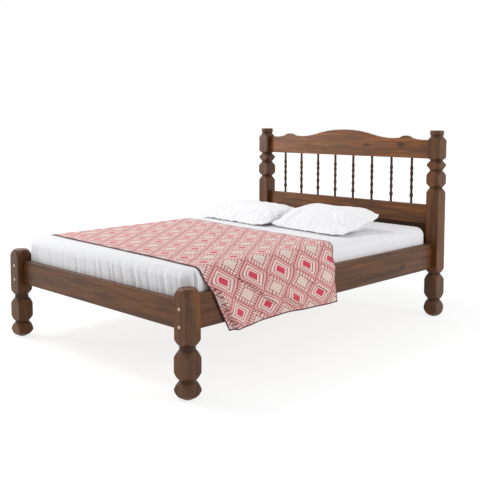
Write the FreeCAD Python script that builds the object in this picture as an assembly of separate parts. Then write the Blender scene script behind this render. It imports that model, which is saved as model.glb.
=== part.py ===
import FreeCAD, Part
import math
import os
from FreeCAD import Rotation, Vector

# Turned wood double bed with a spindle headboard, its mattress and its bedding.
# Millimetres. The origin is on the floor under the middle of the four posts.
# +X is the right side seen from the foot, +Y points to the headboard, +Z is up.

# Mattress, which sets the inside of the frame
MATTRESS_WIDTH = 1400.0
MATTRESS_LENGTH = 2000.0
MATTRESS_THICKNESS = 200.0
MATTRESS_CORNER_RADIUS = 60.0
MATTRESS_TOP_EDGE_RADIUS = 50.0
MATTRESS_BOTTOM_EDGE_RADIUS = 15.0
MATTRESS_SIDE_GAP = 3.0
MATTRESS_FOOT_GAP = 6.0
MATTRESS_HEAD_GAP = 30.0

# Clearances and small seats shared by all joints
FIT = 0.2
CLOTH_GAP = 0.3
OVERRUN = 10.0
EDGE_EASE = 3.0

# Posts, turned from square blanks
POST_SIDE = 90.0
FOOT_POST_HEIGHT = 504.0
HEAD_POST_HEIGHT = 1177.0
FOOT_LEG_RELIEF = 37.0
HEAD_LEG_RELIEF = 2.0
FOOT_DOME_HEIGHT = 39.0
SHAFT_RISE = 81.0
UPPER_BLOCK_LIFT = 10.0
CAP_HEIGHT = 67.0
GLIDE_THICKNESS = 4.0
GLIDE_DIAMETER = 40.0
BLOCK_RADIUS_SHARE = 0.664

# Rails
RAIL_THICKNESS = 30.0
RAIL_PROUD = 8.0
RAIL_BOTTOM = 309.0
SIDE_RAIL_HEIGHT = 161.0
END_RAIL_HEIGHT = 135.0
TENON_THICKNESS = 12.0
TENON_SHOULDER = 22.0
STUB_TENON_DEPTH = 12.0
END_TENON_DEPTH = 26.0

# Headboard
HEADBOARD_SETBACK = 6.0
LOWER_RAIL_PLACE_SHARE = 0.2523
LOWER_RAIL_HEIGHT = 122.0
CREST_DROP = 178.0
CREST_END_HEIGHT = 121.0
CREST_DIP_HEIGHT = 125.0
CREST_SLOPE_HEIGHT = 129.0
CREST_BUMP_HEIGHT = 143.0
CREST_SHOULDER_HEIGHT = 144.0
CREST_MIDDLE_HEIGHT = 177.0
FILLER_THICKNESS = 15.0
FILLER_GROOVE_DEPTH = 8.0
SPINDLE_COUNT = 8
SPINDLE_PITCH_SHARE = 0.114
SPINDLE_DIAMETER = 16.0
SPINDLE_BEAD_DIAMETER = 21.5
SPINDLE_LAST_BEAD_DIAMETER = 24.0
SPINDLE_TENON_DIAMETER = 10.0
SPINDLE_TENON_LENGTH = 15.0

# Slats and what carries them
LEDGER_THICKNESS = 30.0
LEDGER_HEIGHT = 35.0
LEDGER_LIFT = 8.0
LEDGER_END_GAP = 60.0
SLAT_COUNT = 13
SLAT_WIDTH = 70.0
SLAT_THICKNESS = 18.0
SLAT_END_GAP = 3.0
SLAT_INSET = 45.0
BEAM_WIDTH = 40.0
LEG_SIDE = 50.0
LEG_CHAMFER = 6.0
DOWEL_DIAMETER = 12.0
DOWEL_LENGTH = 60.0
HANGER_PLATE = 2.0
HANGER_EAR = 20.0
HANGER_SEAT = 40.0
HANGER_LIP = 8.0

# Frame bolts with barrel nuts and push-in caps
BOLT_DIAMETER = 8.0
BOLT_HOLE_DIAMETER = 9.0
BOLT_HEAD_DIAMETER = 13.0
BOLT_HEAD_HEIGHT = 8.0
COUNTERBORE_DIAMETER = 13.6
COUNTERBORE_DEPTH = 14.0
CAP_PLUG_DIAMETER = 13.2
CAP_PLUG_LENGTH = 4.0
CAP_FLANGE_DIAMETER = 15.0
CAP_FLANGE_HEIGHT = 2.0
BARREL_DIAMETER = 14.0
BARREL_LENGTH = 22.0
BARREL_DISTANCE = 40.0
BOLT_END = 12.0
BOLT_OFFSET = 3.0
BOLT_HEIGHT_SHARES = (0.155, 0.66)

# Wood screws
SCREW_DIAMETER = 4.0
SCREW_HEAD_DIAMETER = 8.0
SCREW_HEAD_HEIGHT = 3.0
SLAT_SCREW_LENGTH = 40.0
LEDGER_SCREW_LENGTH = 45.0
HANGER_SCREW_LENGTH = 22.0
LEDGER_SCREW_COUNT = 6

# Bedding
SHEET_THICKNESS = 1.4
SHEET_TURN_UNDER = 60.0
SPREAD_THICKNESS = 4.0
SPREAD_HANG_GAP = 4.0
SPREAD_BEND = 61.0
SPREAD_NEAR_HEM = 262.0
SPREAD_FAR_HEM = 330.0
SPREAD_WAVE_COUNT = 8
SPREAD_HEM_WAVE = 7.0
SPREAD_TOP_WAVE = 0.4
SPREAD_LENGTH = 900.0
SPREAD_FOOT_EDGE = 905.0
PILLOW_WIDTH = 628.0
PILLOW_DEPTH = 375.0
PILLOW_THICKNESS = 150.0
PILLOW_SPACING = 642.0
PILLOW_CENTRE_X = 10.0
PILLOW_CENTRE_Y = 452.0
PILLOW_YAW = -5.5

# Places worked out from the sizes above
RAIL_INNER = RAIL_THICKNESS - RAIL_PROUD
RAIL_CENTRE = RAIL_THICKNESS / 2 - RAIL_PROUD
POST_HALF = POST_SIDE / 2
INNER_HALF_WIDTH = MATTRESS_WIDTH / 2 + MATTRESS_SIDE_GAP
INNER_HALF_LENGTH = (MATTRESS_LENGTH + MATTRESS_FOOT_GAP + MATTRESS_HEAD_GAP) / 2
POST_X = INNER_HALF_WIDTH + RAIL_INNER
POST_Y = INNER_HALF_LENGTH + RAIL_INNER
RAIL_CENTRE_X = POST_X - RAIL_CENTRE
BOLT_X = RAIL_CENTRE_X + BOLT_OFFSET
CLEAR_HALF_X = POST_X - POST_HALF
CLEAR_HALF_Y = POST_Y - POST_HALF
SIDE_RAIL_TOP = RAIL_BOTTOM + SIDE_RAIL_HEIGHT
END_RAIL_TOP = RAIL_BOTTOM + END_RAIL_HEIGHT
CREST_BOTTOM = HEAD_POST_HEIGHT - CREST_DROP
LOWER_RAIL_BOTTOM = END_RAIL_TOP + LOWER_RAIL_PLACE_SHARE * (CREST_BOTTOM - END_RAIL_TOP)
LOWER_RAIL_TOP = LOWER_RAIL_BOTTOM + LOWER_RAIL_HEIGHT
SPINDLE_PITCH = 2 * CLEAR_HALF_X * SPINDLE_PITCH_SHARE
HEADBOARD_Y = POST_Y + HEADBOARD_SETBACK
LEDGER_BOTTOM = RAIL_BOTTOM + LEDGER_LIFT
LEDGER_TOP = LEDGER_BOTTOM + LEDGER_HEIGHT
SLAT_TOP = LEDGER_TOP + SLAT_THICKNESS
LEDGER_HALF_LENGTH = CLEAR_HALF_Y - LEDGER_END_GAP
LEDGER_CENTRE_X = INNER_HALF_WIDTH - LEDGER_THICKNESS / 2
SLAT_HALF_LENGTH = INNER_HALF_WIDTH - SLAT_END_GAP
FIRST_SLAT_Y = SLAT_INSET - LEDGER_HALF_LENGTH
SLAT_PITCH = -2 * FIRST_SLAT_Y / (SLAT_COUNT - 1)
MATTRESS_CENTRE_Y = (MATTRESS_FOOT_GAP - MATTRESS_HEAD_GAP) / 2
SHEET_SKIN = CLOTH_GAP + SHEET_THICKNESS
MATTRESS_BOTTOM = SLAT_TOP + CLOTH_GAP + SHEET_SKIN
MATTRESS_TOP = MATTRESS_BOTTOM + MATTRESS_THICKNESS
SHEET_TOP = MATTRESS_TOP + SHEET_SKIN
SHEET_HALF_WIDTH = MATTRESS_WIDTH / 2 + SHEET_SKIN
RAIL_OUTER_X = POST_X + RAIL_PROUD

# Turned outlines: share of the stretch's height, radius as a share of the blank's side, and how far
# the curve up to that point bulges, as a share of its chord (0 for a straight run)
FOOT_LEG_SHARES = (
    (0.0, 0.267, 0.0), (0.134, 0.70, 0.13), (0.292, 0.428, 0.08), (0.314, 0.428, 0.0),
    (0.440, 0.69, 0.05), (0.690, 0.69, 0.0), (0.828, 0.422, 0.05), (0.899, 0.422, 0.0),
    (1.0, BLOCK_RADIUS_SHARE, 0.04),
)
FOOT_DOME_SHARES = ((1.0, 0.42, 0.10),)
HEAD_LEG_SHARES = (
    (0.0, 0.333, 0.0), (0.165, 0.70, 0.13), (0.330, 0.428, 0.08), (0.350, 0.428, 0.0),
    (0.478, 0.69, 0.05), (0.759, 0.69, 0.0), (0.878, 0.422, 0.04), (0.901, 0.422, 0.0),
    (1.0, BLOCK_RADIUS_SHARE, 0.04),
)
HEAD_TURNING_SHARES = (
    (0.127, 0.440, 0.05), (0.158, 0.440, 0.0), (0.279, 0.69, 0.06), (0.482, 0.69, 0.0),
    (0.614, 0.440, 0.06), (0.640, 0.440, 0.0), (0.787, 0.70, 0.0), (0.899, 0.436, 0.0),
    (0.930, 0.436, 0.0), (1.0, BLOCK_RADIUS_SHARE, 0.06),
)
HEAD_CAP_SHARES = (
    (0.402, 0.436, 0.05), (0.46, 0.430, 0.0), (0.552, 0.430, 0.0), (0.627, 0.475, 0.12),
    (0.896, 0.475, 0.0), (1.0, 0.42, 0.20),
)

# Beads of a spindle: their middles as shares of the open height, the last being the fullest
BEAD_PLACE_SHARES = (0.77, 0.655, 0.515, 0.35, 0.175)
BEAD_HALF_SHARE = 0.048
# Crest rail outline: shares of half the open width where its top bends
CREST_DIP_SHARE = 0.59
CREST_SHOULDER_SHARE = 0.355
CREST_BUMP_SHARE = 0.731
CREST_BUMP_HALF_SHARE = 0.06
CREST_HOLLOW_SHARE = 0.032
CREST_END_HOLLOW_SHARE = 0.05
# Pillow sections from front to back: place, half width, and the height of the seam, the crown and
# the underside
PILLOW_SECTION_SHARES = (
    (-1.0, 0.99, 0.09, 0.13, 0.05), (-0.8, 0.955, 0.13, 0.50, 0.0), (-0.4, 0.925, 0.25, 0.86, 0.0),
    (0.05, 0.91, 0.38, 1.0, 0.0), (0.5, 0.92, 0.49, 0.97, 0.05), (0.82, 0.95, 0.56, 0.82, 0.25),
    (1.0, 0.99, 0.60, 0.64, 0.56),
)
# Bedspread edges along its path: how far the foot-side and the head-side edge move towards the head
SPREAD_FOOT_SHIFT_SHARES = (
    0.022, 0.022, 0.022, 0.022, 0.022, 0.039, 0.070, 0.0, 0.011, 0.028, 0.072, 0.130,
)
SPREAD_HEAD_SHIFT_SHARES = (
    0.090, 0.090, 0.100, 0.120, 0.160, 0.165, 0.111, 0.072, 0.039, -0.006, 0.011, 0.033,
)


def box(low, high):
    """Box between two corners."""
    size = high - low
    return Part.makeBox(size.x, size.y, size.z, low)


def centred_box(centre, size):
    """Box of a size about its centre."""
    return box(centre - size / 2, centre + size / 2)


def cylinder(diameter, start, end):
    """Cylinder between two points of its axis."""
    run = end - start
    return Part.makeCylinder(diameter / 2, run.Length, start, run)


def edges_along(shape, direction):
    """Straight edges that run in a direction."""
    straight = [edge for edge in shape.Edges if isinstance(edge.Curve, Part.Line)]
    chosen = []
    for edge in straight:
        along = edge.tangentAt(edge.FirstParameter).dot(direction)
        if abs(along) > 0.999:
            chosen.append(edge)
    return chosen


def eased_board(centre, size, direction):
    """Board whose long edges are rounded over."""
    board = centred_box(centre, size)
    return board.makeFillet(EDGE_EASE, edges_along(board, direction))


def curve_to(start, end, bulge):
    """Line or arc in the XZ plane; a positive bulge lies to the right of the way from start to end."""
    if bulge == 0:
        return Part.makeLine(start, end)
    chord = end - start
    side = Vector(chord.z, 0, -chord.x)
    middle = (start + end) / 2 + side * bulge
    return Part.Arc(start, middle, end).toShape()


def lathe(points):
    """Solid of revolution about Z through (radius, height, bulge) points."""
    first = points[0]
    last = points[-1]
    edges = [Part.makeLine(Vector(0, 0, first[1]), Vector(first[0], 0, first[1]))]
    for before, after in zip(points, points[1:]):
        edges.append(curve_to(Vector(before[0], 0, before[1]), Vector(after[0], 0, after[1]), after[2]))
    edges.append(Part.makeLine(Vector(last[0], 0, last[1]), Vector(0, 0, last[1])))
    edges.append(Part.makeLine(Vector(0, 0, last[1]), Vector(0, 0, first[1])))
    face = Part.Face(Part.Wire(edges))
    return face.revolve(Vector(0, 0, 0), Vector(0, 0, 1), 360)


def stretch(shares, low, high):
    """Turned points of one stretch of a post, from its shares."""
    return [(radius * POST_SIDE, low + share * (high - low), bulge) for share, radius, bulge in shares]


def square_turning(points):
    """Square blank turned on the lathe: flats stay wherever the outline is wider than the blank."""
    turned = lathe(points)
    low = points[0][1]
    high = points[-1][1]
    blank = box(Vector(-POST_HALF, -POST_HALF, low), Vector(POST_HALF, POST_HALF, high))
    return turned.common(blank)


def foot_post_turning():
    """Foot post: ball foot, bulb, square block and domed top."""
    block_top = FOOT_POST_HEIGHT - FOOT_DOME_HEIGHT
    points = stretch(FOOT_LEG_SHARES, GLIDE_THICKNESS, RAIL_BOTTOM - FOOT_LEG_RELIEF)
    points.append((BLOCK_RADIUS_SHARE * POST_SIDE, block_top, 0))
    points += stretch(FOOT_DOME_SHARES, block_top, FOOT_POST_HEIGHT)
    return square_turning(points)


def head_post_turning():
    """Head post: ball foot, bulb, long shaft, bulb, pointed bead, upper block and round cap."""
    shaft_top = LOWER_RAIL_TOP + SHAFT_RISE
    block_low = CREST_BOTTOM + UPPER_BLOCK_LIFT
    block_top = HEAD_POST_HEIGHT - CAP_HEIGHT
    block_radius = BLOCK_RADIUS_SHARE * POST_SIDE
    points = stretch(HEAD_LEG_SHARES, GLIDE_THICKNESS, RAIL_BOTTOM - HEAD_LEG_RELIEF)
    points.append((block_radius, shaft_top, 0))
    points += stretch(HEAD_TURNING_SHARES, shaft_top, block_low)
    points.append((block_radius, block_top, 0))
    points += stretch(HEAD_CAP_SHARES, block_top, HEAD_POST_HEIGHT)
    return square_turning(points)


def side_tenon(sx, sy, clearance):
    """Stub tenon of a side rail, or its mortise when there is a clearance."""
    reach = STUB_TENON_DEPTH + clearance
    low = Vector(-TENON_THICKNESS / 2 - clearance, 0, RAIL_BOTTOM + TENON_SHOULDER - clearance)
    high = Vector(TENON_THICKNESS / 2 + clearance, reach, SIDE_RAIL_TOP - TENON_SHOULDER + clearance)
    tenon = box(low, high)
    if sy < 0:
        tenon = tenon.mirror(Vector(0, 0, 0), Vector(0, 1, 0))
    tenon.translate(Vector(sx * RAIL_CENTRE_X, sy * CLEAR_HALF_Y, 0))
    return tenon


def cross_tenon(sx, y, bottom, top, thickness, depth, clearance):
    """Tenon of a rail that runs across the bed, or its mortise when there is a clearance."""
    low = Vector(0, -thickness / 2 - clearance, bottom - clearance)
    high = Vector(depth + clearance, thickness / 2 + clearance, top + clearance)
    tenon = box(low, high)
    if sx < 0:
        tenon = tenon.mirror(Vector(0, 0, 0), Vector(1, 0, 0))
    tenon.translate(Vector(sx * CLEAR_HALF_X, y, 0))
    return tenon


def end_rail_tenon(sx, sy, clearance):
    """Tenon of the foot rail or the head cross rail."""
    y = sy * (POST_Y - RAIL_CENTRE)
    bottom = RAIL_BOTTOM + TENON_SHOULDER
    top = END_RAIL_TOP - TENON_SHOULDER
    return cross_tenon(sx, y, bottom, top, TENON_THICKNESS, END_TENON_DEPTH, clearance)


def lower_rail_tenon(sx, clearance):
    """Tenon of the headboard's lower rail."""
    bottom = LOWER_RAIL_BOTTOM + TENON_SHOULDER
    top = LOWER_RAIL_TOP - TENON_SHOULDER
    return cross_tenon(sx, HEADBOARD_Y, bottom, top, TENON_THICKNESS, END_TENON_DEPTH, clearance)


def crest_tenon(sx, clearance):
    """Tenon of the crest rail."""
    bottom = CREST_BOTTOM + TENON_SHOULDER
    top = CREST_BOTTOM + CREST_END_HEIGHT - TENON_SHOULDER
    return cross_tenon(sx, HEADBOARD_Y, bottom, top, TENON_THICKNESS, END_TENON_DEPTH, clearance)


def filler_tongue(sx, clearance):
    """End of the filler board in its groove in a head post."""
    depth = FILLER_GROOVE_DEPTH
    return cross_tenon(sx, HEADBOARD_Y, END_RAIL_TOP, LOWER_RAIL_BOTTOM, FILLER_THICKNESS, depth, clearance)


def bolt_places():
    """Axis of each frame bolt: side, end and height."""
    heights = [RAIL_BOTTOM + share * SIDE_RAIL_HEIGHT for share in BOLT_HEIGHT_SHARES]
    return [(sx, sy, z) for sx in (-1, 1) for sy in (-1, 1) for z in heights]


def bolt_point(sx, sy, z, inset):
    """Point on a bolt's axis, an inset inside the post's outer face."""
    return Vector(sx * BOLT_X, sy * (POST_Y + POST_HALF - inset), z)


def bolt_bores():
    """Clearance holes and counterbores for all frame bolts."""
    bores = []
    reach = POST_SIDE + BARREL_DISTANCE + BOLT_END + FIT
    for sx, sy, z in bolt_places():
        outside = bolt_point(sx, sy, z, -OVERRUN)
        bores.append(cylinder(BOLT_HOLE_DIAMETER, outside, bolt_point(sx, sy, z, reach)))
        bores.append(cylinder(COUNTERBORE_DIAMETER, outside, bolt_point(sx, sy, z, COUNTERBORE_DEPTH)))
    return bores


def placed_post(turning, sx, sy, mortises):
    """Post in its corner with its mortises and bolt holes."""
    post = turning.copy()
    post.translate(Vector(sx * POST_X, sy * POST_Y, 0))
    return post.cut(mortises + bolt_bores())


def foot_post(sx):
    """Left or right foot post."""
    mortises = [side_tenon(sx, -1, FIT), end_rail_tenon(sx, -1, FIT)]
    return placed_post(foot_post_turning(), sx, -1, mortises)


def head_post(sx):
    """Left or right head post."""
    mortises = [side_tenon(sx, 1, FIT), end_rail_tenon(sx, 1, FIT), lower_rail_tenon(sx, FIT),
                crest_tenon(sx, FIT), filler_tongue(sx, FIT)]
    return placed_post(head_post_turning(), sx, 1, mortises)


def barrel_bores(sx):
    """Blind cross holes for the barrel nuts, drilled from the rail's inner face."""
    bores = []
    for side, sy, z in bolt_places():
        if side != sx:
            continue
        y = sy * (CLEAR_HALF_Y - BARREL_DISTANCE)
        start = Vector(sx * (RAIL_CENTRE_X + BARREL_LENGTH / 2 + FIT), y, z)
        end = Vector(sx * (INNER_HALF_WIDTH - OVERRUN), y, z)
        bores.append(cylinder(BARREL_DIAMETER + 2 * FIT, start, end))
    return bores


def side_rail(sx):
    """Side rail with stub tenons, bolt holes, barrel nut holes and pilot holes for the ledger."""
    centre = Vector(sx * RAIL_CENTRE_X, 0, RAIL_BOTTOM + SIDE_RAIL_HEIGHT / 2)
    size = Vector(RAIL_THICKNESS, 2 * CLEAR_HALF_Y, SIDE_RAIL_HEIGHT)
    rail = eased_board(centre, size, Vector(0, 1, 0))
    rail = rail.fuse([side_tenon(sx, -1, 0), side_tenon(sx, 1, 0)])
    return rail.cut(bolt_bores() + barrel_bores(sx) + ledger_screws(sx, FIT))


def end_rail(sy):
    """Foot rail or head cross rail, with tenons and hanger screw holes."""
    centre = Vector(0, sy * (POST_Y - RAIL_CENTRE), RAIL_BOTTOM + END_RAIL_HEIGHT / 2)
    size = Vector(2 * CLEAR_HALF_X, RAIL_THICKNESS, END_RAIL_HEIGHT)
    rail = eased_board(centre, size, Vector(1, 0, 0))
    rail = rail.fuse([end_rail_tenon(-1, sy, 0), end_rail_tenon(1, sy, 0)])
    return rail.cut(hanger_screws(FIT))


def spindle_places():
    """X of each spindle, evenly pitched about the middle."""
    first = -(SPINDLE_COUNT - 1) / 2 * SPINDLE_PITCH
    return [first + i * SPINDLE_PITCH for i in range(SPINDLE_COUNT)]


def spindle_socket(x, face, towards):
    """Blind hole for a spindle's tenon in a rail's face."""
    start = Vector(x, HEADBOARD_Y, face - towards * FIT)
    end = Vector(x, HEADBOARD_Y, face + towards * (SPINDLE_TENON_LENGTH + FIT))
    return cylinder(SPINDLE_TENON_DIAMETER + 2 * FIT, start, end)


def headboard_lower_rail():
    """Straight rail under the spindles."""
    centre = Vector(0, HEADBOARD_Y, LOWER_RAIL_BOTTOM + LOWER_RAIL_HEIGHT / 2)
    size = Vector(2 * CLEAR_HALF_X, RAIL_THICKNESS, LOWER_RAIL_HEIGHT)
    rail = eased_board(centre, size, Vector(1, 0, 0))
    rail = rail.fuse([lower_rail_tenon(-1, 0), lower_rail_tenon(1, 0)])
    return rail.cut([spindle_socket(x, LOWER_RAIL_TOP, -1) for x in spindle_places()])


def crest_point(share, height):
    """Point of the crest's outline, by its share of half the open width."""
    return Vector(share * CLEAR_HALF_X, 0, CREST_BOTTOM + height)


def crest_half(side):
    """Top outline from the shoulder of the high middle to one end, as arcs."""
    shoulder = crest_point(side * CREST_SHOULDER_SHARE, CREST_SHOULDER_HEIGHT)
    dip = crest_point(side * CREST_DIP_SHARE, CREST_DIP_HEIGHT)
    low_in = crest_point(side * (CREST_BUMP_SHARE - CREST_BUMP_HALF_SHARE), CREST_SLOPE_HEIGHT)
    peak = crest_point(side * CREST_BUMP_SHARE, CREST_BUMP_HEIGHT)
    low_out = crest_point(side * (CREST_BUMP_SHARE + CREST_BUMP_HALF_SHARE), CREST_SLOPE_HEIGHT)
    end = crest_point(side, CREST_END_HEIGHT)
    bump = Part.Arc(low_in, peak, low_out).toShape()
    return [curve_to(shoulder, dip, side * CREST_HOLLOW_SHARE), Part.makeLine(dip, low_in), bump,
            curve_to(low_out, end, side * CREST_END_HOLLOW_SHARE)]


def crest_rail():
    """Shaped top rail: a high middle, two dips and two small bumps, cut from one board."""
    shoulders = [crest_point(side * CREST_SHOULDER_SHARE, CREST_SHOULDER_HEIGHT) for side in (-1, 1)]
    crown = Part.Arc(shoulders[0], crest_point(0, CREST_MIDDLE_HEIGHT), shoulders[1]).toShape()
    top = crest_half(-1) + [crown] + crest_half(1)
    end_x = CLEAR_HALF_X
    low_left = Vector(-end_x, 0, CREST_BOTTOM)
    low_right = Vector(end_x, 0, CREST_BOTTOM)
    sides = [Part.makeLine(crest_point(1, CREST_END_HEIGHT), low_right), Part.makeLine(low_right, low_left),
             Part.makeLine(low_left, crest_point(-1, CREST_END_HEIGHT))]
    outline = Part.Wire(Part.__sortEdges__(top + sides))
    board = Part.Face(outline).extrude(Vector(0, RAIL_THICKNESS, 0))
    board.translate(Vector(0, HEADBOARD_Y - RAIL_THICKNESS / 2, 0))
    rail = board.fuse([crest_tenon(-1, 0), crest_tenon(1, 0)])
    return rail.cut([spindle_socket(x, CREST_BOTTOM, 1) for x in spindle_places()])


def filler_board():
    """Thin board that closes the head end between the cross rail and the lower rail, set in grooves."""
    centre = Vector(0, HEADBOARD_Y, (END_RAIL_TOP + LOWER_RAIL_BOTTOM) / 2)
    size = Vector(2 * CLEAR_HALF_X, FILLER_THICKNESS, LOWER_RAIL_BOTTOM - END_RAIL_TOP)
    return centred_box(centre, size).fuse([filler_tongue(-1, 0), filler_tongue(1, 0)])


def spindle(x):
    """Turned spindle with five beads and a round tenon at each end."""
    open_height = CREST_BOTTOM - LOWER_RAIL_TOP
    neck = SPINDLE_DIAMETER / 2
    tenon = SPINDLE_TENON_DIAMETER / 2
    points = [(tenon, LOWER_RAIL_TOP - SPINDLE_TENON_LENGTH, 0), (tenon, LOWER_RAIL_TOP, 0),
              (neck, LOWER_RAIL_TOP, 0)]
    for share in sorted(BEAD_PLACE_SHARES):
        full = SPINDLE_BEAD_DIAMETER / 2
        if share == min(BEAD_PLACE_SHARES):
            full = SPINDLE_LAST_BEAD_DIAMETER / 2
        half = BEAD_HALF_SHARE * open_height
        middle = LOWER_RAIL_TOP + share * open_height
        bulge = (full - neck) / (2 * half)
        points.append((neck, middle - half, 0))
        points.append((neck, middle + half, bulge))
    points += [(neck, CREST_BOTTOM, 0), (tenon, CREST_BOTTOM, 0)]
    points.append((tenon, CREST_BOTTOM + SPINDLE_TENON_LENGTH, 0))
    turned = lathe(points)
    turned.translate(Vector(x, HEADBOARD_Y, 0))
    return turned


def wood_screw(head, direction, length, clearance):
    """Countersunk screw from the middle of its head's face, or its hole when there is a clearance."""
    radius = SCREW_DIAMETER / 2 + clearance
    head_radius = SCREW_HEAD_DIAMETER / 2 + clearance
    end = length + clearance
    points = [(head_radius, 0, 0), (radius, SCREW_HEAD_HEIGHT, 0), (radius, end - radius, 0), (0, end, 0)]
    edges = [Part.makeLine(Vector(0, 0, 0), Vector(head_radius, 0, 0))]
    for before, after in zip(points, points[1:]):
        edges.append(Part.makeLine(Vector(before[0], 0, before[1]), Vector(after[0], 0, after[1])))
    edges.append(Part.makeLine(Vector(0, 0, end), Vector(0, 0, 0)))
    screw = Part.Face(Part.Wire(edges)).revolve(Vector(0, 0, 0), Vector(0, 0, 1), 360)
    turn = Rotation(Vector(0, 0, 1), direction)
    screw.rotate(Vector(0, 0, 0), turn.Axis, math.degrees(turn.Angle))
    screw.translate(head)
    return screw


def slat_places():
    """Y of each slat."""
    return [FIRST_SLAT_Y + i * SLAT_PITCH for i in range(SLAT_COUNT)]


def ledger_screws(sx, clearance):
    """Screws from the ledger's inner face into the side rail, between the slats."""
    face_x = INNER_HALF_WIDTH - LEDGER_THICKNESS
    z = LEDGER_BOTTOM + LEDGER_HEIGHT / 2
    screws = []
    for i in range(LEDGER_SCREW_COUNT):
        gap = i * (SLAT_COUNT - 1) // LEDGER_SCREW_COUNT
        head = Vector(sx * face_x, FIRST_SLAT_Y + (gap + 1 / 2) * SLAT_PITCH, z)
        screws.append(wood_screw(head, Vector(sx, 0, 0), LEDGER_SCREW_LENGTH, clearance))
    return screws


def slat_screws(y, clearance):
    """Two screws that hold one slat to the ledgers."""
    places = [Vector(sx * LEDGER_CENTRE_X, y, SLAT_TOP) for sx in (-1, 1)]
    return [wood_screw(head, Vector(0, 0, -1), SLAT_SCREW_LENGTH, clearance) for head in places]


def ledger(sx):
    """Batten on the inside of a side rail that carries the slats."""
    centre = Vector(sx * LEDGER_CENTRE_X, 0, LEDGER_BOTTOM + LEDGER_HEIGHT / 2)
    size = Vector(LEDGER_THICKNESS, 2 * LEDGER_HALF_LENGTH, LEDGER_HEIGHT)
    holes = ledger_screws(sx, FIT)
    for y in slat_places():
        holes += slat_screws(y, FIT)
    return centred_box(centre, size).cut(holes)


def slat(y):
    """One slat across the ledgers and the centre beam."""
    centre = Vector(0, y, LEDGER_TOP + SLAT_THICKNESS / 2)
    size = Vector(2 * SLAT_HALF_LENGTH, SLAT_WIDTH, SLAT_THICKNESS)
    board = centred_box(centre, size)
    board = board.makeFillet(EDGE_EASE, edges_along(board, Vector(1, 0, 0)))
    return board.cut(slat_screws(y, FIT))


def leg_dowel(clearance):
    """Dowel between the centre leg and the beam, or its hole when there is a clearance."""
    half = DOWEL_LENGTH / 2 + clearance
    start = Vector(0, 0, RAIL_BOTTOM - half)
    end = Vector(0, 0, RAIL_BOTTOM + half)
    return cylinder(DOWEL_DIAMETER + 2 * clearance, start, end)


def centre_beam():
    """Beam under the middle of the slats, from end rail to end rail."""
    half = INNER_HALF_LENGTH - HANGER_PLATE - FIT
    low = Vector(-BEAM_WIDTH / 2, -half, RAIL_BOTTOM)
    high = Vector(BEAM_WIDTH / 2, half, LEDGER_TOP)
    return box(low, high).cut(leg_dowel(FIT))


def centre_leg():
    """Square leg under the middle of the beam."""
    low = Vector(-LEG_SIDE / 2, -LEG_SIDE / 2, GLIDE_THICKNESS)
    high = Vector(LEG_SIDE / 2, LEG_SIDE / 2, RAIL_BOTTOM)
    leg = box(low, high)
    leg = leg.makeChamfer(LEG_CHAMFER, edges_along(leg, Vector(0, 0, 1)))
    return leg.cut(leg_dowel(FIT))


def hanger_screw_heads(sy):
    """Places of the hanger screws' heads on one end rail."""
    x = BEAM_WIDTH / 2 + FIT + HANGER_PLATE + HANGER_EAR / 2
    z = (RAIL_BOTTOM + LEDGER_TOP) / 2
    return [Vector(sx * x, sy * (INNER_HALF_LENGTH - HANGER_PLATE), z) for sx in (-1, 1)]


def hanger_screws(clearance):
    """All four hanger screws, two in each end rail."""
    return [wood_screw(head, Vector(0, sy, 0), HANGER_SCREW_LENGTH, clearance)
            for sy in (-1, 1) for head in hanger_screw_heads(sy)]


def beam_hanger(sy):
    """Folded steel hanger: back plate with ears, two cheeks and a seat under the beam."""
    face = INNER_HALF_LENGTH
    inner = BEAM_WIDTH / 2 + FIT
    outer = inner + HANGER_PLATE
    seat_low = RAIL_BOTTOM - FIT - HANGER_PLATE
    top = LEDGER_TOP - HANGER_LIP
    ear = outer + HANGER_EAR
    back = box(Vector(-ear, face - HANGER_PLATE, RAIL_BOTTOM), Vector(ear, face, top))
    shoe = box(Vector(-outer, face - HANGER_SEAT, seat_low), Vector(outer, face, top))
    room = box(Vector(-inner, face - HANGER_SEAT - OVERRUN, RAIL_BOTTOM - FIT),
               Vector(inner, face - HANGER_PLATE, top + OVERRUN))
    hanger = shoe.cut(room).fuse(back)
    if sy < 0:
        hanger = hanger.mirror(Vector(0, 0, 0), Vector(0, 1, 0))
    return hanger.cut(hanger_screws(FIT)).removeSplitter()


def frame_bolt(sx, sy, z):
    """Socket-head bolt through a post into a side rail."""
    seat = bolt_point(sx, sy, z, COUNTERBORE_DEPTH)
    top = bolt_point(sx, sy, z, COUNTERBORE_DEPTH - BOLT_HEAD_HEIGHT)
    end = bolt_point(sx, sy, z, POST_SIDE + BARREL_DISTANCE + BOLT_END)
    return cylinder(BOLT_HEAD_DIAMETER, top, seat).fuse(cylinder(BOLT_DIAMETER, seat, end))


def barrel_nut(sx, sy, z):
    """Barrel nut across a side rail, with the bolt's hole through it."""
    axis_point = bolt_point(sx, sy, z, POST_SIDE + BARREL_DISTANCE)
    centre = Vector(sx * RAIL_CENTRE_X, axis_point.y, z)
    half = Vector(BARREL_LENGTH / 2, 0, 0)
    reach = Vector(0, BARREL_DIAMETER, 0)
    nut = cylinder(BARREL_DIAMETER, centre - half, centre + half)
    return nut.cut(cylinder(BOLT_DIAMETER + FIT, axis_point - reach, axis_point + reach))


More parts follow.
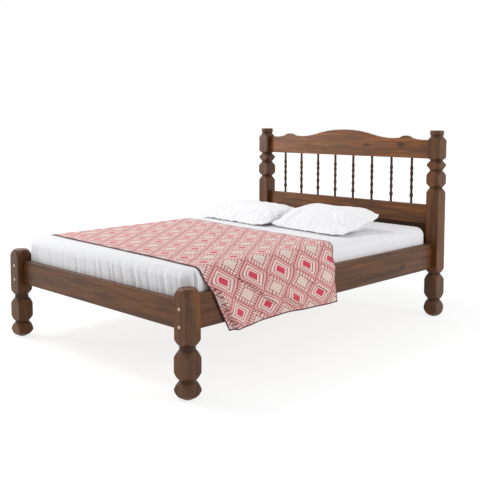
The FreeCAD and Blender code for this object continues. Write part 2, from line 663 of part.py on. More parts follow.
def bolt_cap(sx, sy, z):
    """Push-in cap over a bolt's head, with a low domed flange."""
    face = bolt_point(sx, sy, z, 0)
    plug = cylinder(CAP_PLUG_DIAMETER, bolt_point(sx, sy, z, CAP_PLUG_LENGTH), face)
    flange = cylinder(CAP_FLANGE_DIAMETER, face, bolt_point(sx, sy, z, -CAP_FLANGE_HEIGHT))
    rim = max(flange.Edges, key=lambda edge: sy * edge.CenterOfMass.y)
    flange = flange.makeFillet(CAP_FLANGE_HEIGHT * 3 / 4, [rim])
    return plug.fuse(flange).removeSplitter()


def foot_glides():
    """Round glides under the posts and the centre leg."""
    places = [Vector(sx * POST_X, sy * POST_Y, 0) for sx in (-1, 1) for sy in (-1, 1)] + [Vector(0, 0, 0)]
    lift = Vector(0, 0, GLIDE_THICKNESS)
    return [cylinder(GLIDE_DIAMETER, place, place + lift) for place in places]


def soft_block(half_width, half_length, bottom, top, growth):
    """Mattress-shaped block; growth is how far it stands outside the mattress."""
    low = Vector(-half_width, MATTRESS_CENTRE_Y - half_length, bottom)
    high = Vector(half_width, MATTRESS_CENTRE_Y + half_length, top)
    block = box(low, high)
    block = block.makeFillet(MATTRESS_CORNER_RADIUS + growth, edges_along(block, Vector(0, 0, 1)))
    middle = (bottom + top) / 2
    upper = [edge for edge in block.Edges if edge.BoundBox.ZMin > middle]
    block = block.makeFillet(MATTRESS_TOP_EDGE_RADIUS + growth, upper)
    lower = [edge for edge in block.Edges if edge.BoundBox.ZMax < middle]
    return block.makeFillet(MATTRESS_BOTTOM_EDGE_RADIUS + growth, lower)


def mattress():
    """Foam mattress with rounded corners and edges."""
    return soft_block(MATTRESS_WIDTH / 2, MATTRESS_LENGTH / 2, MATTRESS_BOTTOM, MATTRESS_TOP, 0)


def fitted_sheet():
    """Fitted sheet: a skin over the mattress, turned in under its edge all round."""
    half_width = MATTRESS_WIDTH / 2
    half_length = MATTRESS_LENGTH / 2
    outer, inner = [
        soft_block(half_width + growth, half_length + growth, MATTRESS_BOTTOM - growth,
                   MATTRESS_TOP + growth, growth)
        for growth in (SHEET_SKIN, CLOTH_GAP)
    ]
    turn = Vector(SHEET_TURN_UNDER, SHEET_TURN_UNDER, 0)
    opening_half = Vector(half_width, half_length, 0) - turn
    centre = Vector(0, MATTRESS_CENTRE_Y, MATTRESS_BOTTOM)
    opening = box(centre - opening_half - Vector(0, 0, OVERRUN), centre + opening_half)
    return outer.cut([inner, opening])


def pillow_section(place, half_share, seam_share, crown_share, under_share):
    """Lens across a pillow: an upper and a lower arc between the two side seams."""
    half = half_share * PILLOW_WIDTH / 2
    rest = SHEET_TOP + CLOTH_GAP
    y = place * PILLOW_DEPTH / 2
    left = Vector(-half, y, rest + seam_share * PILLOW_THICKNESS)
    right = Vector(half, y, rest + seam_share * PILLOW_THICKNESS)
    upper = Part.Arc(left, Vector(0, y, rest + crown_share * PILLOW_THICKNESS), right).toShape()
    lower = Part.Arc(right, Vector(0, y, rest + under_share * PILLOW_THICKNESS), left).toShape()
    return Part.Wire([upper, lower])


def pillow(side):
    """Plump pillow with drawn-in sides and a crown, its back raised a little."""
    sections = [pillow_section(*shares) for shares in PILLOW_SECTION_SHARES]
    form = Part.makeLoft(sections, True, False)
    low = form.optimalBoundingBox(False, False).ZMin
    form.translate(Vector(0, 0, SHEET_TOP + CLOTH_GAP - low))
    form.rotate(Vector(0, 0, 0), Vector(0, 0, 1), PILLOW_YAW)
    form.translate(Vector(PILLOW_CENTRE_X + side * PILLOW_SPACING / 2, PILLOW_CENTRE_Y, 0))
    return form


def spread_bend(share):
    """Underside point and normal where the cloth rounds the near edge of the mattress."""
    radius = MATTRESS_TOP_EDGE_RADIUS + SHEET_SKIN + CLOTH_GAP
    middle = Vector(SHEET_HALF_WIDTH + CLOTH_GAP - radius, 0, SHEET_TOP + CLOTH_GAP - radius)
    step = math.radians(SPREAD_BEND / 2)
    angle = math.radians(SPREAD_BEND) * share
    normal = Vector(math.sin(angle), 0, math.cos(angle))
    return middle + normal * (radius / math.cos(step / 2)), normal


def spread_half(hem, hang):
    """Stations of the cloth's underside from the bed's middle to one hem: point, normal, wave."""
    top = SHEET_TOP + CLOTH_GAP
    rail_line = SIDE_RAIL_TOP + SPREAD_HANG_GAP
    upper, upper_normal = spread_bend(1 / 4)
    lower, lower_normal = spread_bend(3 / 4)
    out = Vector(1, 0, 0)
    return [(Vector(upper.x / 2, 0, top), Vector(0, 0, 1), SPREAD_TOP_WAVE),
            (upper, upper_normal, SPREAD_TOP_WAVE), (lower, lower_normal, SPREAD_TOP_WAVE),
            (Vector(hang, 0, rail_line), out, SPREAD_HEM_WAVE / 2),
            (Vector(hang, 0, (rail_line + hem) / 2), out, SPREAD_HEM_WAVE),
            (Vector(hang, 0, hem), out, SPREAD_HEM_WAVE)]


def spread_path():
    """All stations from the far hem over the mattress to the near hem."""
    hang = RAIL_OUTER_X + SPREAD_HANG_GAP
    far = []
    for point, normal, wave in reversed(spread_half(SPREAD_FAR_HEM, hang)):
        far.append((Vector(-point.x, 0, point.z), Vector(-normal.x, 0, normal.z), wave))
    return far + spread_half(SPREAD_NEAR_HEM, hang)


def turned_back(arc):
    """The same arc, run from its end to its start."""
    middle = arc.valueAt((arc.FirstParameter + arc.LastParameter) / 2)
    return Part.Arc(arc.valueAt(arc.LastParameter), middle, arc.valueAt(arc.FirstParameter)).toShape()


def spread_row(base, normal, lift, wave, foot_y, head_y):
    """Row of arcs across the cloth, alternately out and in, at a lift along the normal."""
    step = (head_y - foot_y) / SPREAD_WAVE_COUNT
    centre = base + normal * (lift + wave)
    arcs = []
    for i in range(SPREAD_WAVE_COUNT):
        start = centre + Vector(0, foot_y + i * step, 0)
        end = centre + Vector(0, foot_y + (i + 1) * step, 0)
        swing = wave if i % 2 else -wave
        arcs.append(Part.Arc(start, (start + end) / 2 + normal * swing, end).toShape())
    return arcs


def spread_section(station, foot_share, head_share):
    """Closed outline of the cloth's thickness across one station of its path."""
    base, normal, wave = station
    foot_y = foot_share * SPREAD_LENGTH - SPREAD_FOOT_EDGE
    head_y = head_share * SPREAD_LENGTH + SPREAD_LENGTH - SPREAD_FOOT_EDGE
    under = spread_row(base, normal, 0, wave, foot_y, head_y)
    over = spread_row(base, normal, SPREAD_THICKNESS, wave, foot_y, head_y)
    foot_edge = Part.makeLine(over[0].Vertexes[0].Point, under[0].Vertexes[0].Point)
    head_edge = Part.makeLine(under[-1].Vertexes[1].Point, over[-1].Vertexes[1].Point)
    back = [turned_back(arc) for arc in reversed(over)]
    return Part.Wire(under + [head_edge] + back + [foot_edge])


def bedspread():
    """Bedspread laid across the mattress and hanging in soft folds over both side rails."""
    sections = [spread_section(station, foot_share, head_share) for station, foot_share, head_share
                in zip(spread_path(), SPREAD_FOOT_SHIFT_SHARES, SPREAD_HEAD_SHIFT_SHARES)]
    return Part.makeLoft(sections, True, True)


def parts():
    """Every sub-part by its node's name."""
    nodes = {
        "head_post_left": head_post(-1), "head_post_right": head_post(1),
        "foot_post_left": foot_post(-1), "foot_post_right": foot_post(1),
        "side_rail_left": side_rail(-1), "side_rail_right": side_rail(1),
        "foot_rail": end_rail(-1), "head_cross_rail": end_rail(1), "head_filler_board": filler_board(),
        "headboard_lower_rail": headboard_lower_rail(), "headboard_crest_rail": crest_rail(),
        "ledger_left": ledger(-1), "ledger_right": ledger(1),
        "centre_beam": centre_beam(), "centre_leg": centre_leg(), "leg_dowel": leg_dowel(0),
        "beam_hangers": Part.makeCompound([beam_hanger(-1), beam_hanger(1)]),
        "hanger_screws": Part.makeCompound(hanger_screws(0)),
        "ledger_screws": Part.makeCompound(ledger_screws(-1, 0) + ledger_screws(1, 0)),
        "frame_bolts": Part.makeCompound([frame_bolt(*place) for place in bolt_places()]),
        "barrel_nuts": Part.makeCompound([barrel_nut(*place) for place in bolt_places()]),
        "bolt_caps": Part.makeCompound([bolt_cap(*place) for place in bolt_places()]),
        "foot_glides": Part.makeCompound(foot_glides()),
        "mattress": mattress(), "fitted_sheet": fitted_sheet(), "bedspread": bedspread(),
        "pillow_left": pillow(-1), "pillow_right": pillow(1),
    }
    screws = []
    for number, y in enumerate(slat_places(), start=1):
        nodes[f"slat_{number:02d}"] = slat(y)
        screws += slat_screws(y, 0)
    nodes["slat_screws"] = Part.makeCompound(screws)
    for number, x in enumerate(spindle_places(), start=1):
        nodes[f"spindle_{number}"] = spindle(x)
    return nodes


def main():
    """Writes one STEP file per sub-part."""
    os.makedirs("parts", exist_ok=True)
    for name, shape in parts().items():
        shape.exportStep(f"parts/{name}.step")


main()
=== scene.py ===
"""Dresses the turned wood bed: stained pine frame, mattress, fitted sheet, bedspread, two pillows, and the stage."""

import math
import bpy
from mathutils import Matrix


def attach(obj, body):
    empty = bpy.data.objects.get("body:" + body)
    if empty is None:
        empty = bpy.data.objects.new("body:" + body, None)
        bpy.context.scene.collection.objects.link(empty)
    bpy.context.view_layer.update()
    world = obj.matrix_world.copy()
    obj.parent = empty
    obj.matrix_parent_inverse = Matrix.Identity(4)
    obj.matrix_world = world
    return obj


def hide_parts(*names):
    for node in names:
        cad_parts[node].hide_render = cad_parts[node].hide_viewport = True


bl_info = {
    "name": "Turned wood bed",
    "version": (1, 0, 0),
    "blender": (4, 5, 0),
    "location": "View3D > Sidebar > Bed",
    "description": "Wood, metal and bedding for a turned wood double bed, with a plain studio stage",
    "category": "Object",
}

import bpy
import numpy as np

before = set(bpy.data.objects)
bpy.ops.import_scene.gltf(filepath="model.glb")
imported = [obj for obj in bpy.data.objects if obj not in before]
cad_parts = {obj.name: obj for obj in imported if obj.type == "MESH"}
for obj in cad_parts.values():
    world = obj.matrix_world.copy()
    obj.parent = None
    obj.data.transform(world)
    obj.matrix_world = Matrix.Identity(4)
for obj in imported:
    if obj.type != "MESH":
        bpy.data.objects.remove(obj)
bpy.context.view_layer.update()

# Nodes that share a finish
POSTS = ["head_post_left", "head_post_right", "foot_post_left", "foot_post_right"]
SPINDLES = [f"spindle_{number}" for number in range(1, 9)]
SIDE_RAILS = ["side_rail_left", "side_rail_right"]
CROSS_RAILS = ["foot_rail", "head_cross_rail"]
SLATS = [f"slat_{number:02d}" for number in range(1, 14)]
STEEL = ["beam_hangers", "hanger_screws", "ledger_screws", "slat_screws", "frame_bolts", "barrel_nuts"]

# Where the soft pieces lie, in metres, as in the CAD frame
MATTRESS_CENTRE_Y = -0.012
MATTRESS_HALF_WIDTH = 0.700
MATTRESS_HALF_LENGTH = 1.000
MATTRESS_BOTTOM = 0.3720
MATTRESS_TOP = 0.5720
MATTRESS_CORNER_RADIUS = 0.060
MATTRESS_LOWER_RADIUS = 0.015
MATTRESS_UPPER_RADIUS = 0.050
# Half width of the hole left in the middle of a skin, which one face closes
SKIN_OPENING = 0.012
SHEET_TOP = 0.5737
SHEET_STAND_OFF = 0.0017
SHEET_TURN_UNDER = 0.060
CLEARANCE = 0.0006
RAIL_TOP_SIDE = 0.470
# The near foot corner, and how far round it the sheet's tuck lies, in radians from the foot
NEAR_CORNER_Y = -0.9
TUCK_TURN = 1.33
# Spacing of a wave texture's bands at a scale of one
WAVE_SPACING = 0.314


def linear(code):
    """Linear RGBA of an sRGB hex colour."""
    parts = [int(code[i:i + 2], 16) / 255 for i in (1, 3, 5)]
    return tuple(c / 12.92 if c <= 0.04045 else ((c + 0.055) / 1.055) ** 2.4 for c in parts) + (1.0,)


# Colours that belong to one material
PINE_LATEWOOD = linear("#b07f48")
ZINC_DARK, ZINC_LIGHT = linear("#9aa0a3"), linear("#c4c8c8")
TICKING_SEAM, TICKING_PUFF = linear("#cfcbc0"), linear("#ebe8e0")
PRINT_STONE, HEM_BINDING = linear("#d9c9c0"), linear("#5a2a33")
CAP_CREAM, GLIDE_BLACK = linear("#e4d3bd"), linear("#1d1c1b")
FLOOR_WHITE = linear("#f2f2f2")


def add(tree, kind, inputs=None, stops=None, **settings):
    """Adds a shader node, sets its properties and colour stops, and gives its inputs values, nodes or sockets."""
    node = tree.nodes.new("ShaderNode" + kind)
    for name, value in settings.items():
        setattr(node, name, value)
    for key, value in (inputs or {}).items():
        if isinstance(value, bpy.types.Node):
            value = value.outputs[0]
        if isinstance(value, bpy.types.NodeSocket):
            tree.links.new(value, node.inputs[key])
        else:
            node.inputs[key].default_value = value
    if stops:
        elements = node.color_ramp.elements
        while len(elements) < len(stops):
            elements.new(0.5)
        for element, (place, colour) in zip(elements, stops):
            element.position = place
            element.color = colour
    return node


def new_material(name, **values):
    """Empty material with its surface shader; values are set on the shader's own sockets."""
    material = bpy.data.materials.new(name)
    material.use_nodes = True
    tree = material.node_tree
    tree.nodes.clear()
    shader = add(tree, "BsdfPrincipled", {key.replace("_", " "): value for key, value in values.items()})
    add(tree, "OutputMaterial", {"Surface": shader})
    return material, tree, shader


def connect(tree, shader, **sources):
    """Links nodes or sockets to the shader's own sockets."""
    for name, source in sources.items():
        socket = source.outputs[0] if isinstance(source, bpy.types.Node) else source
        tree.links.new(socket, shader.inputs[name.replace("_", " ")])


def grid_faces(rows, columns, wrap):
    """Quads of a grid of rows by columns of points; wrap joins the last column to the first."""
    across = columns if wrap else columns - 1
    r, c = np.meshgrid(np.arange(rows - 1), np.arange(across), indexing="ij")
    n = (c + 1) % columns
    return np.stack([r * columns + c, r * columns + n, (r + 1) * columns + n, (r + 1) * columns + c], -1).reshape(-1, 4)


def make_piece(name, points, quads, flat=None, rings=()):
    """Mesh object from whole arrays: points, quads, flat coordinates for its UV map, and rings of points to close."""
    mesh = bpy.data.meshes.new(name)
    points = np.asarray(points, np.float32).reshape(-1, 3)
    corners = np.concatenate([quads.ravel()] + [np.asarray(ring) for ring in rings]).astype(np.int32)
    ring_starts = quads.size + np.cumsum([0] + [len(ring) for ring in rings])[:-1]
    starts = np.concatenate([np.arange(0, quads.size, 4), ring_starts]).astype(np.int32)
    mesh.vertices.add(len(points))
    mesh.vertices.foreach_set("co", points.ravel())
    mesh.loops.add(len(corners))
    mesh.loops.foreach_set("vertex_index", corners)
    mesh.polygons.add(len(starts))
    mesh.polygons.foreach_set("loop_start", starts)
    mesh.update(calc_edges=True)
    if flat is not None:
        layer = mesh.uv_layers.new(name="Flat")
        layer.data.foreach_set("uv", np.asarray(flat, np.float32).reshape(-1, 2)[corners].ravel())
    mesh.validate()
    mesh.shade_smooth()
    piece = bpy.data.objects.new(name, mesh)
    bpy.context.scene.collection.objects.link(piece)
    return piece


def hump(value, middle, width):
    """Bell curve: one at the middle, falling off over the width."""
    return np.exp(-((value - middle) / width) ** 2)


def ramp_up(value, low, high):
    """Smooth step from nought at low to one at high."""
    t = np.clip((value - low) / (high - low), 0, 1)
    return t * t * (3 - 2 * t)


def size_property(name, description, default, low, high, **settings):
    """Number that a user can change, between two limits."""
    return bpy.props.FloatProperty(name=name, description=description, default=default, min=low, max=high, **settings)


def colour_property(name, description, code):
    """Colour that a user can change, from its sRGB hex value."""
    return bpy.props.FloatVectorProperty(
        name=name, description=description, subtype="COLOR", size=4, min=0, max=1, default=linear(code))


class BedSizes(bpy.types.PropertyGroup):
    """Sizes that a user would change."""

    lozenge_length: size_property("Lozenge length", "Length of one lozenge of the print along the bed", 0.205, 0.05,
        0.5, unit="LENGTH")
    lozenge_drop: size_property("Lozenge width", "Width of one lozenge of the print across the bed", 0.155, 0.05, 0.5,
        unit="LENGTH")
    pleat_depth: size_property("Pleat depth", "Depth of the fitted sheet's pleats at the foot", 0.0085, 0, 0.009,
        unit="LENGTH")
    fold_depth: size_property("Fold depth", "How far the bedspread's folds stand out at its near hem", 0.017, 0, 0.03,
        unit="LENGTH")
    pillow_fullness: size_property("Pillow fullness", "Height of the pillows as a share of their usual height", 1.0,
        0.5, 1.05)
    ring_pitch: size_property("Ring spacing", "Spacing of the growth rings drawn on the wood", 0.013, 0.002, 0.03,
        unit="LENGTH")
    weave_pitch: size_property("Weave spacing", "Spacing of the threads drawn on the cloth", 0.0022, 0.0005, 0.01,
        unit="LENGTH")


class BedColours(bpy.types.PropertyGroup):
    """Colours that a user would change."""

    stain_dark: colour_property("Stain, latewood", "Darkest colour of the stained pine", "#29160a")
    stain_mid: colour_property("Stain, body", "Usual colour of the stained pine", "#573319")
    stain_light: colour_property("Stain, earlywood", "Lightest colour of the stained pine", "#7b4b22")
    stain_violet: colour_property("Stain, streaks", "Cool violet-brown of the streaks where the stain took unevenly",
        "#443023")
    raw_wood: colour_property("Raw pine", "Colour of the unfinished slats and beams", "#d8b486")
    sheet: colour_property("Sheet cotton", "Colour of the fitted sheet", "#e9e9ec")
    cotton: colour_property("Pillow cotton", "Colour of the pillowcases", "#f4f4f6")
    ground: colour_property("Bedspread ground", "Pale pink ground of the bedspread", "#e3aaa5")
    field: colour_property("Bedspread field", "Cream band inside the bedspread's lozenges", "#efd3ca")
    outline: colour_property("Bedspread outline", "Dark maroon of the lozenges' outlines", "#7c2636")
    heart: colour_property("Bedspread heart", "Red of the centre lozenges' hearts", "#c93a52")


# Posts: distance of their axes from the middle of the bed, the radii between which stain pools in the
# turned grooves, and how high it does so on the foot and the head posts
POST_CENTRE = (0.725, 1.040)
POOL_RIM, POOL_DEEP = 0.0440, 0.0375
POOL_TOP_FOOT, POOL_TOP_HEAD = 0.45, 1.16


def board_place(tree, grain):
    """The object's own axes, and its coordinates turned so that the board's length lies along Z."""
    place = add(tree, "TexCoord").outputs["Object"]
    axes = add(tree, "SeparateXYZ", {0: place}).outputs
    order = {"X": (1, 2, 0), "Y": (0, 2, 1), "Z": (0, 1, 2)}[grain]
    return axes, add(tree, "CombineXYZ", {end: axes[axis] for end, axis in enumerate(order)})


def crossed_threads(tree, place, pitch, distortion):
    """Warp and weft of a plain weave, as the sum of two waves."""
    waves = []
    for direction in ("X", "Y"):
        inputs = {"Vector": place, "Scale": WAVE_SPACING / pitch, "Distortion": distortion, "Detail": 1.0}
        waves.append(add(tree, "TexWave", inputs, bands_direction=direction).outputs["Fac"])
    return add(tree, "Math", {0: waves[0], 1: waves[1]}, operation="ADD")


def seen_directly(tree):
    """One for what the camera, mirror-like and clear surfaces see, and nought for what lights the bed."""
    path = add(tree, "LightPath").outputs
    glossy = add(tree, "Math", {0: path["Is Camera Ray"], 1: path["Is Glossy Ray"]}, operation="ADD")
    inputs = {0: glossy, 1: path["Is Transmission Ray"]}
    return add(tree, "Math", inputs, operation="ADD", use_clamp=True)


def stained_pine(name, grain, sizes, colours, tone=0.88, turned=False):
    """Walnut-stained pine under satin lacquer, planed and sanded: soft darker latewood lines that wander along the
    board, ochre and violet-brown streaks where the stain took unevenly, few dark knots, soft gloss. Turned pieces
    hold more stain in their grooves."""
    material, tree, shader = new_material(name, IOR=1.48, Specular_IOR_Level=0.28, Roughness=0.45, Coat_Weight=0.05,
        Coat_Roughness=0.3)
    axes, board = board_place(tree, grain)
    slow = add(tree, "Mapping", {"Vector": board, "Scale": (1, 1, 0.11)})
    wander = add(tree, "TexNoise", {"Vector": slow, "Scale": 8.0, "Detail": 3.0, "Roughness": 0.55})
    shifted = add(tree, "VectorMath", {0: wander.outputs["Color"], 1: (0.5, 0.5, 0.5)}, operation="SUBTRACT")
    bent = add(tree, "VectorMath", {0: shifted, 1: (0.10, 0.10, 0.0), 2: board}, operation="MULTIPLY_ADD")
    pith = add(tree, "Mapping", {"Vector": bent, "Location": (0.037, 0.113, 0), "Scale": (1, 1, 0.02)})
    radius = add(tree, "VectorMath", {0: pith}, operation="LENGTH")
    count = add(tree, "Math", {0: radius.outputs["Value"], 1: sizes.ring_pitch}, operation="DIVIDE")
    ring = add(tree, "Math", {0: count}, operation="FRACT")
    profile = add(tree, "ValToRGB", {"Fac": ring}, stops=[(0.0, (0.10, 0.10, 0.10, 1)), (0.50, (0.22, 0.22, 0.22, 1)),
        (0.84, (1, 1, 1, 1)), (1.0, (0.10, 0.10, 0.10, 1))])
    thin = add(tree, "Mapping", {"Vector": board, "Scale": (1, 1, 0.03)})
    fibre = add(tree, "TexNoise", {"Vector": thin, "Scale": 170.0, "Detail": 4.0, "Roughness": 0.6})
    broad = add(tree, "Mapping", {"Vector": board, "Scale": (1, 1, 0.07)})
    soak = add(tree, "TexNoise", {"Vector": broad, "Scale": 30.0, "Detail": 3.0, "Roughness": 0.6, "Distortion": 0.4})
    soaked = add(tree, "MapRange", {"Value": soak.outputs["Fac"], "From Min": 0.34, "From Max": 0.62})
    body = add(tree, "Mix", {0: soaked, 6: colours.stain_light, 7: colours.stain_mid}, data_type="RGBA")
    patch_place = add(tree, "Mapping", {"Vector": board, "Location": (3.1, 1.7, 0.4), "Scale": (1, 1, 0.22)})
    patch = add(tree, "TexNoise", {"Vector": patch_place, "Scale": 13.0, "Detail": 3.0, "Roughness": 0.6})
    cool = add(tree, "MapRange", {"Value": patch.outputs["Fac"], "From Min": 0.46, "From Max": 0.68, "To Max": 0.6})
    cooled = add(tree, "Mix", {0: cool, 6: body.outputs[2], 7: colours.stain_violet}, data_type="RGBA")
    line = add(tree, "Math", {0: profile, 1: fibre.outputs["Fac"]}, operation="MULTIPLY")
    late = add(tree, "MapRange", {"Value": line, "From Min": 0.10, "From Max": 0.62,
        "To Max": 0.24 if turned else 0.42})
    grained = add(tree, "Mix", {0: late, 6: cooled.outputs[2], 7: colours.stain_dark}, data_type="RGBA")
    streak = add(tree, "MapRange", {"Value": fibre.outputs["Fac"], "From Min": 0.50, "From Max": 0.80, "To Max": 0.22})
    streaked = add(tree, "Mix", {0: streak, 6: grained.outputs[2], 7: colours.stain_dark}, data_type="RGBA")
    knot_place = add(tree, "Mapping", {"Vector": board, "Scale": (1, 1, 0.45)})
    cell = add(tree, "TexVoronoi", {"Vector": knot_place, "Scale": 7.5, "Randomness": 1.0})
    knot = add(tree, "MapRange", {"Value": cell.outputs["Distance"], "From Min": 0.15, "From Max": 0.04, "To Max": 0.9})
    knotted = add(tree, "Mix", {0: knot, 6: streaked.outputs[2], 7: colours.stain_dark}, data_type="RGBA")
    colour = knotted.outputs[2]
    if turned:
        across = []
        for axis, centre in enumerate(POST_CENTRE):
            side = add(tree, "Math", {0: axes[axis]}, operation="ABSOLUTE")
            across.append(add(tree, "Math", {0: side, 1: centre}, operation="SUBTRACT"))
        spoke = add(tree, "CombineXYZ", {0: across[0], 1: across[1]})
        reach = add(tree, "VectorMath", {0: spoke}, operation="LENGTH")
        pooled = add(tree, "MapRange", {"Value": reach.outputs["Value"], "From Min": POOL_RIM, "From Max": POOL_DEEP,
            "To Max": 0.80})
        # The tops of the posts are sanded clean, so no stain pools above a height at the foot and at the head
        at_head = add(tree, "Math", {0: axes[1], 1: 0.0}, operation="GREATER_THAN")
        limit = add(tree, "MapRange", {"Value": at_head, "To Min": POOL_TOP_FOOT, "To Max": POOL_TOP_HEAD})
        under = add(tree, "Math", {0: axes[2], 1: limit}, operation="LESS_THAN")
        held = add(tree, "Math", {0: pooled, 1: under}, operation="MULTIPLY")
        pool = add(tree, "Mix", {0: held, 6: colour, 7: colours.stain_dark}, data_type="RGBA")
        colour = pool.outputs[2]
    # tone scales the stain's brightness; on some pieces a lighter or darker copy stands in for painted light or painted
    # shade
    toned = add(tree, "VectorMath", {0: colour, "Scale": tone}, operation="SCALE")
    gloss = add(tree, "MapRange", {"Value": line, "To Min": 0.36, "To Max": 0.52})
    relief = add(tree, "Bump", {"Height": line, "Strength": 0.22, "Distance": 0.0006})
    connect(tree, shader, Base_Color=toned, Roughness=gloss, Normal=relief)
    return material


def raw_pine(name, grain, colours):
    """Planed pine without finish, sawn and left pale: yellow body, amber latewood lines, dull and slightly furry."""
    material, tree, shader = new_material(name, IOR=1.5, Roughness=0.72)
    board = board_place(tree, grain)[1]
    slow = add(tree, "Mapping", {"Vector": board, "Scale": (1, 1, 0.05)})
    rings = add(tree, "TexNoise", {"Vector": slow, "Scale": 60.0, "Detail": 3.0, "Distortion": 0.3})
    late = add(tree, "MapRange", {"Value": rings.outputs["Fac"], "From Min": 0.48, "From Max": 0.66})
    amber = add(tree, "Mix", {0: late, 6: colours.raw_wood, 7: PINE_LATEWOOD}, data_type="RGBA")
    relief = add(tree, "Bump", {"Height": rings.outputs["Fac"], "Strength": 0.2, "Distance": 0.0005})
    connect(tree, shader, Base_Color=amber.outputs[2], Normal=relief)
    return material


def zinc_steel():
    """Zinc-plated mild steel, stamped or cold headed: blue-grey metal with fine rolling marks and cloudy plating."""
    material, tree, shader = new_material("zinc_plated_steel", Metallic=1.0, Roughness=0.38)
    place = add(tree, "TexCoord").outputs["Object"]
    cloud = add(tree, "TexNoise", {"Vector": place, "Scale": 120.0, "Detail": 3.0})
    tone = add(tree, "Mix", {0: cloud.outputs["Fac"], 6: ZINC_DARK, 7: ZINC_LIGHT}, data_type="RGBA")
    rough = add(tree, "MapRange", {"Value": cloud.outputs["Fac"], "To Min": 0.28, "To Max": 0.5})
    connect(tree, shader, Base_Color=tone.outputs[2], Roughness=rough)
    return material


def moulded_plastic(name, colour, roughness):
    """Injection-moulded polyethylene: even colour with faint flow clouds and a soft spark-eroded grain."""
    material, tree, shader = new_material(name, IOR=1.51, Roughness=roughness)
    place = add(tree, "TexCoord").outputs["Object"]
    flow = add(tree, "TexNoise", {"Vector": place, "Scale": 90.0, "Detail": 2.0})
    dull = tuple(c * 0.86 for c in colour[:3]) + (1.0,)
    tone = add(tree, "Mix", {0: flow.outputs["Fac"], 6: colour, 7: dull}, data_type="RGBA")
    grain = add(tree, "TexNoise", {"Vector": place, "Scale": 1800.0})
    relief = add(tree, "Bump", {"Height": grain.outputs["Fac"], "Strength": 0.15, "Distance": 0.0002})
    connect(tree, shader, Base_Color=tone.outputs[2], Normal=relief)
    return material


def woven_cotton(name, sizes, colour, crease):
    """Plain-woven white cotton, washed and not ironed: matt, a faint sheen at grazing view, fine threads, soft
    creases. The threads are drawn about six times too coarse, so that they show."""
    material, tree, shader = new_material(name, IOR=1.5, Roughness=0.86, Sheen_Weight=0.18, Sheen_Roughness=0.5,
        Subsurface_Weight=0.06, Subsurface_Radius=(0.004, 0.004, 0.004))
    place = add(tree, "TexCoord").outputs["Object"]
    threads = crossed_threads(tree, place, sizes.weave_pitch, 0.6)
    soft = add(tree, "TexNoise", {"Vector": place, "Scale": 16.0, "Detail": 4.0, "Roughness": 0.55, "Distortion": 0.8})
    tone = add(tree, "MapRange", {"Value": soft.outputs["Fac"], "From Min": 0.3, "From Max": 0.7, "To Min": 0.965,
        "To Max": 1.0})
    shade = add(tree, "VectorMath", {0: colour[:3], "Scale": tone}, operation="SCALE")
    fine = add(tree, "Bump", {"Height": threads, "Strength": 0.12, "Distance": 0.0004})
    creased = add(tree, "Bump", {"Height": soft.outputs["Fac"], "Strength": crease, "Distance": 0.012, "Normal": fine})
    connect(tree, shader, Base_Color=shade, Normal=creased)
    return material


def ticking():
    """Woven mattress ticking quilted on thin foam: off-white damask with diagonal quilting lines 90 mm apart."""
    material, tree, shader = new_material("quilted_ticking", IOR=1.5, Roughness=0.8, Sheen_Weight=0.2)
    place = add(tree, "TexCoord").outputs["Object"]
    lines = []
    for turn in (math.radians(45), math.radians(-45)):
        turned = add(tree, "Mapping", {"Vector": place, "Rotation": (0, 0, turn)})
        lines.append(add(tree, "TexWave", {"Vector": turned, "Scale": 3.5}).outputs["Fac"])
    quilt = add(tree, "Math", {0: lines[0], 1: lines[1]}, operation="MAXIMUM")
    puff = add(tree, "MapRange", {"Value": quilt, "From Min": 0.90, "From Max": 1.0, "To Min": 1.0, "To Max": 0.0})
    tone = add(tree, "Mix", {0: puff, 6: TICKING_SEAM, 7: TICKING_PUFF}, data_type="RGBA")
    relief = add(tree, "Bump", {"Height": puff, "Strength": 0.5, "Distance": 0.004})
    connect(tree, shader, Base_Color=tone.outputs[2], Normal=relief)
    return material


# The print's nested lozenges, in depth from a lozenge's centre, 0, to its edge, 0.5
LOZENGE_STEP = 0.125
LINE_HALF_WIDTH = 0.019
HEART_DEPTH = 0.160
FIRST_LINE_DEPTH = 0.190
LADDER_DEPTH = 0.375
CREAM_MIDDLE, CREAM_HALF_WIDTH = 0.275, 0.10
HEM_WIDTH = 0.007


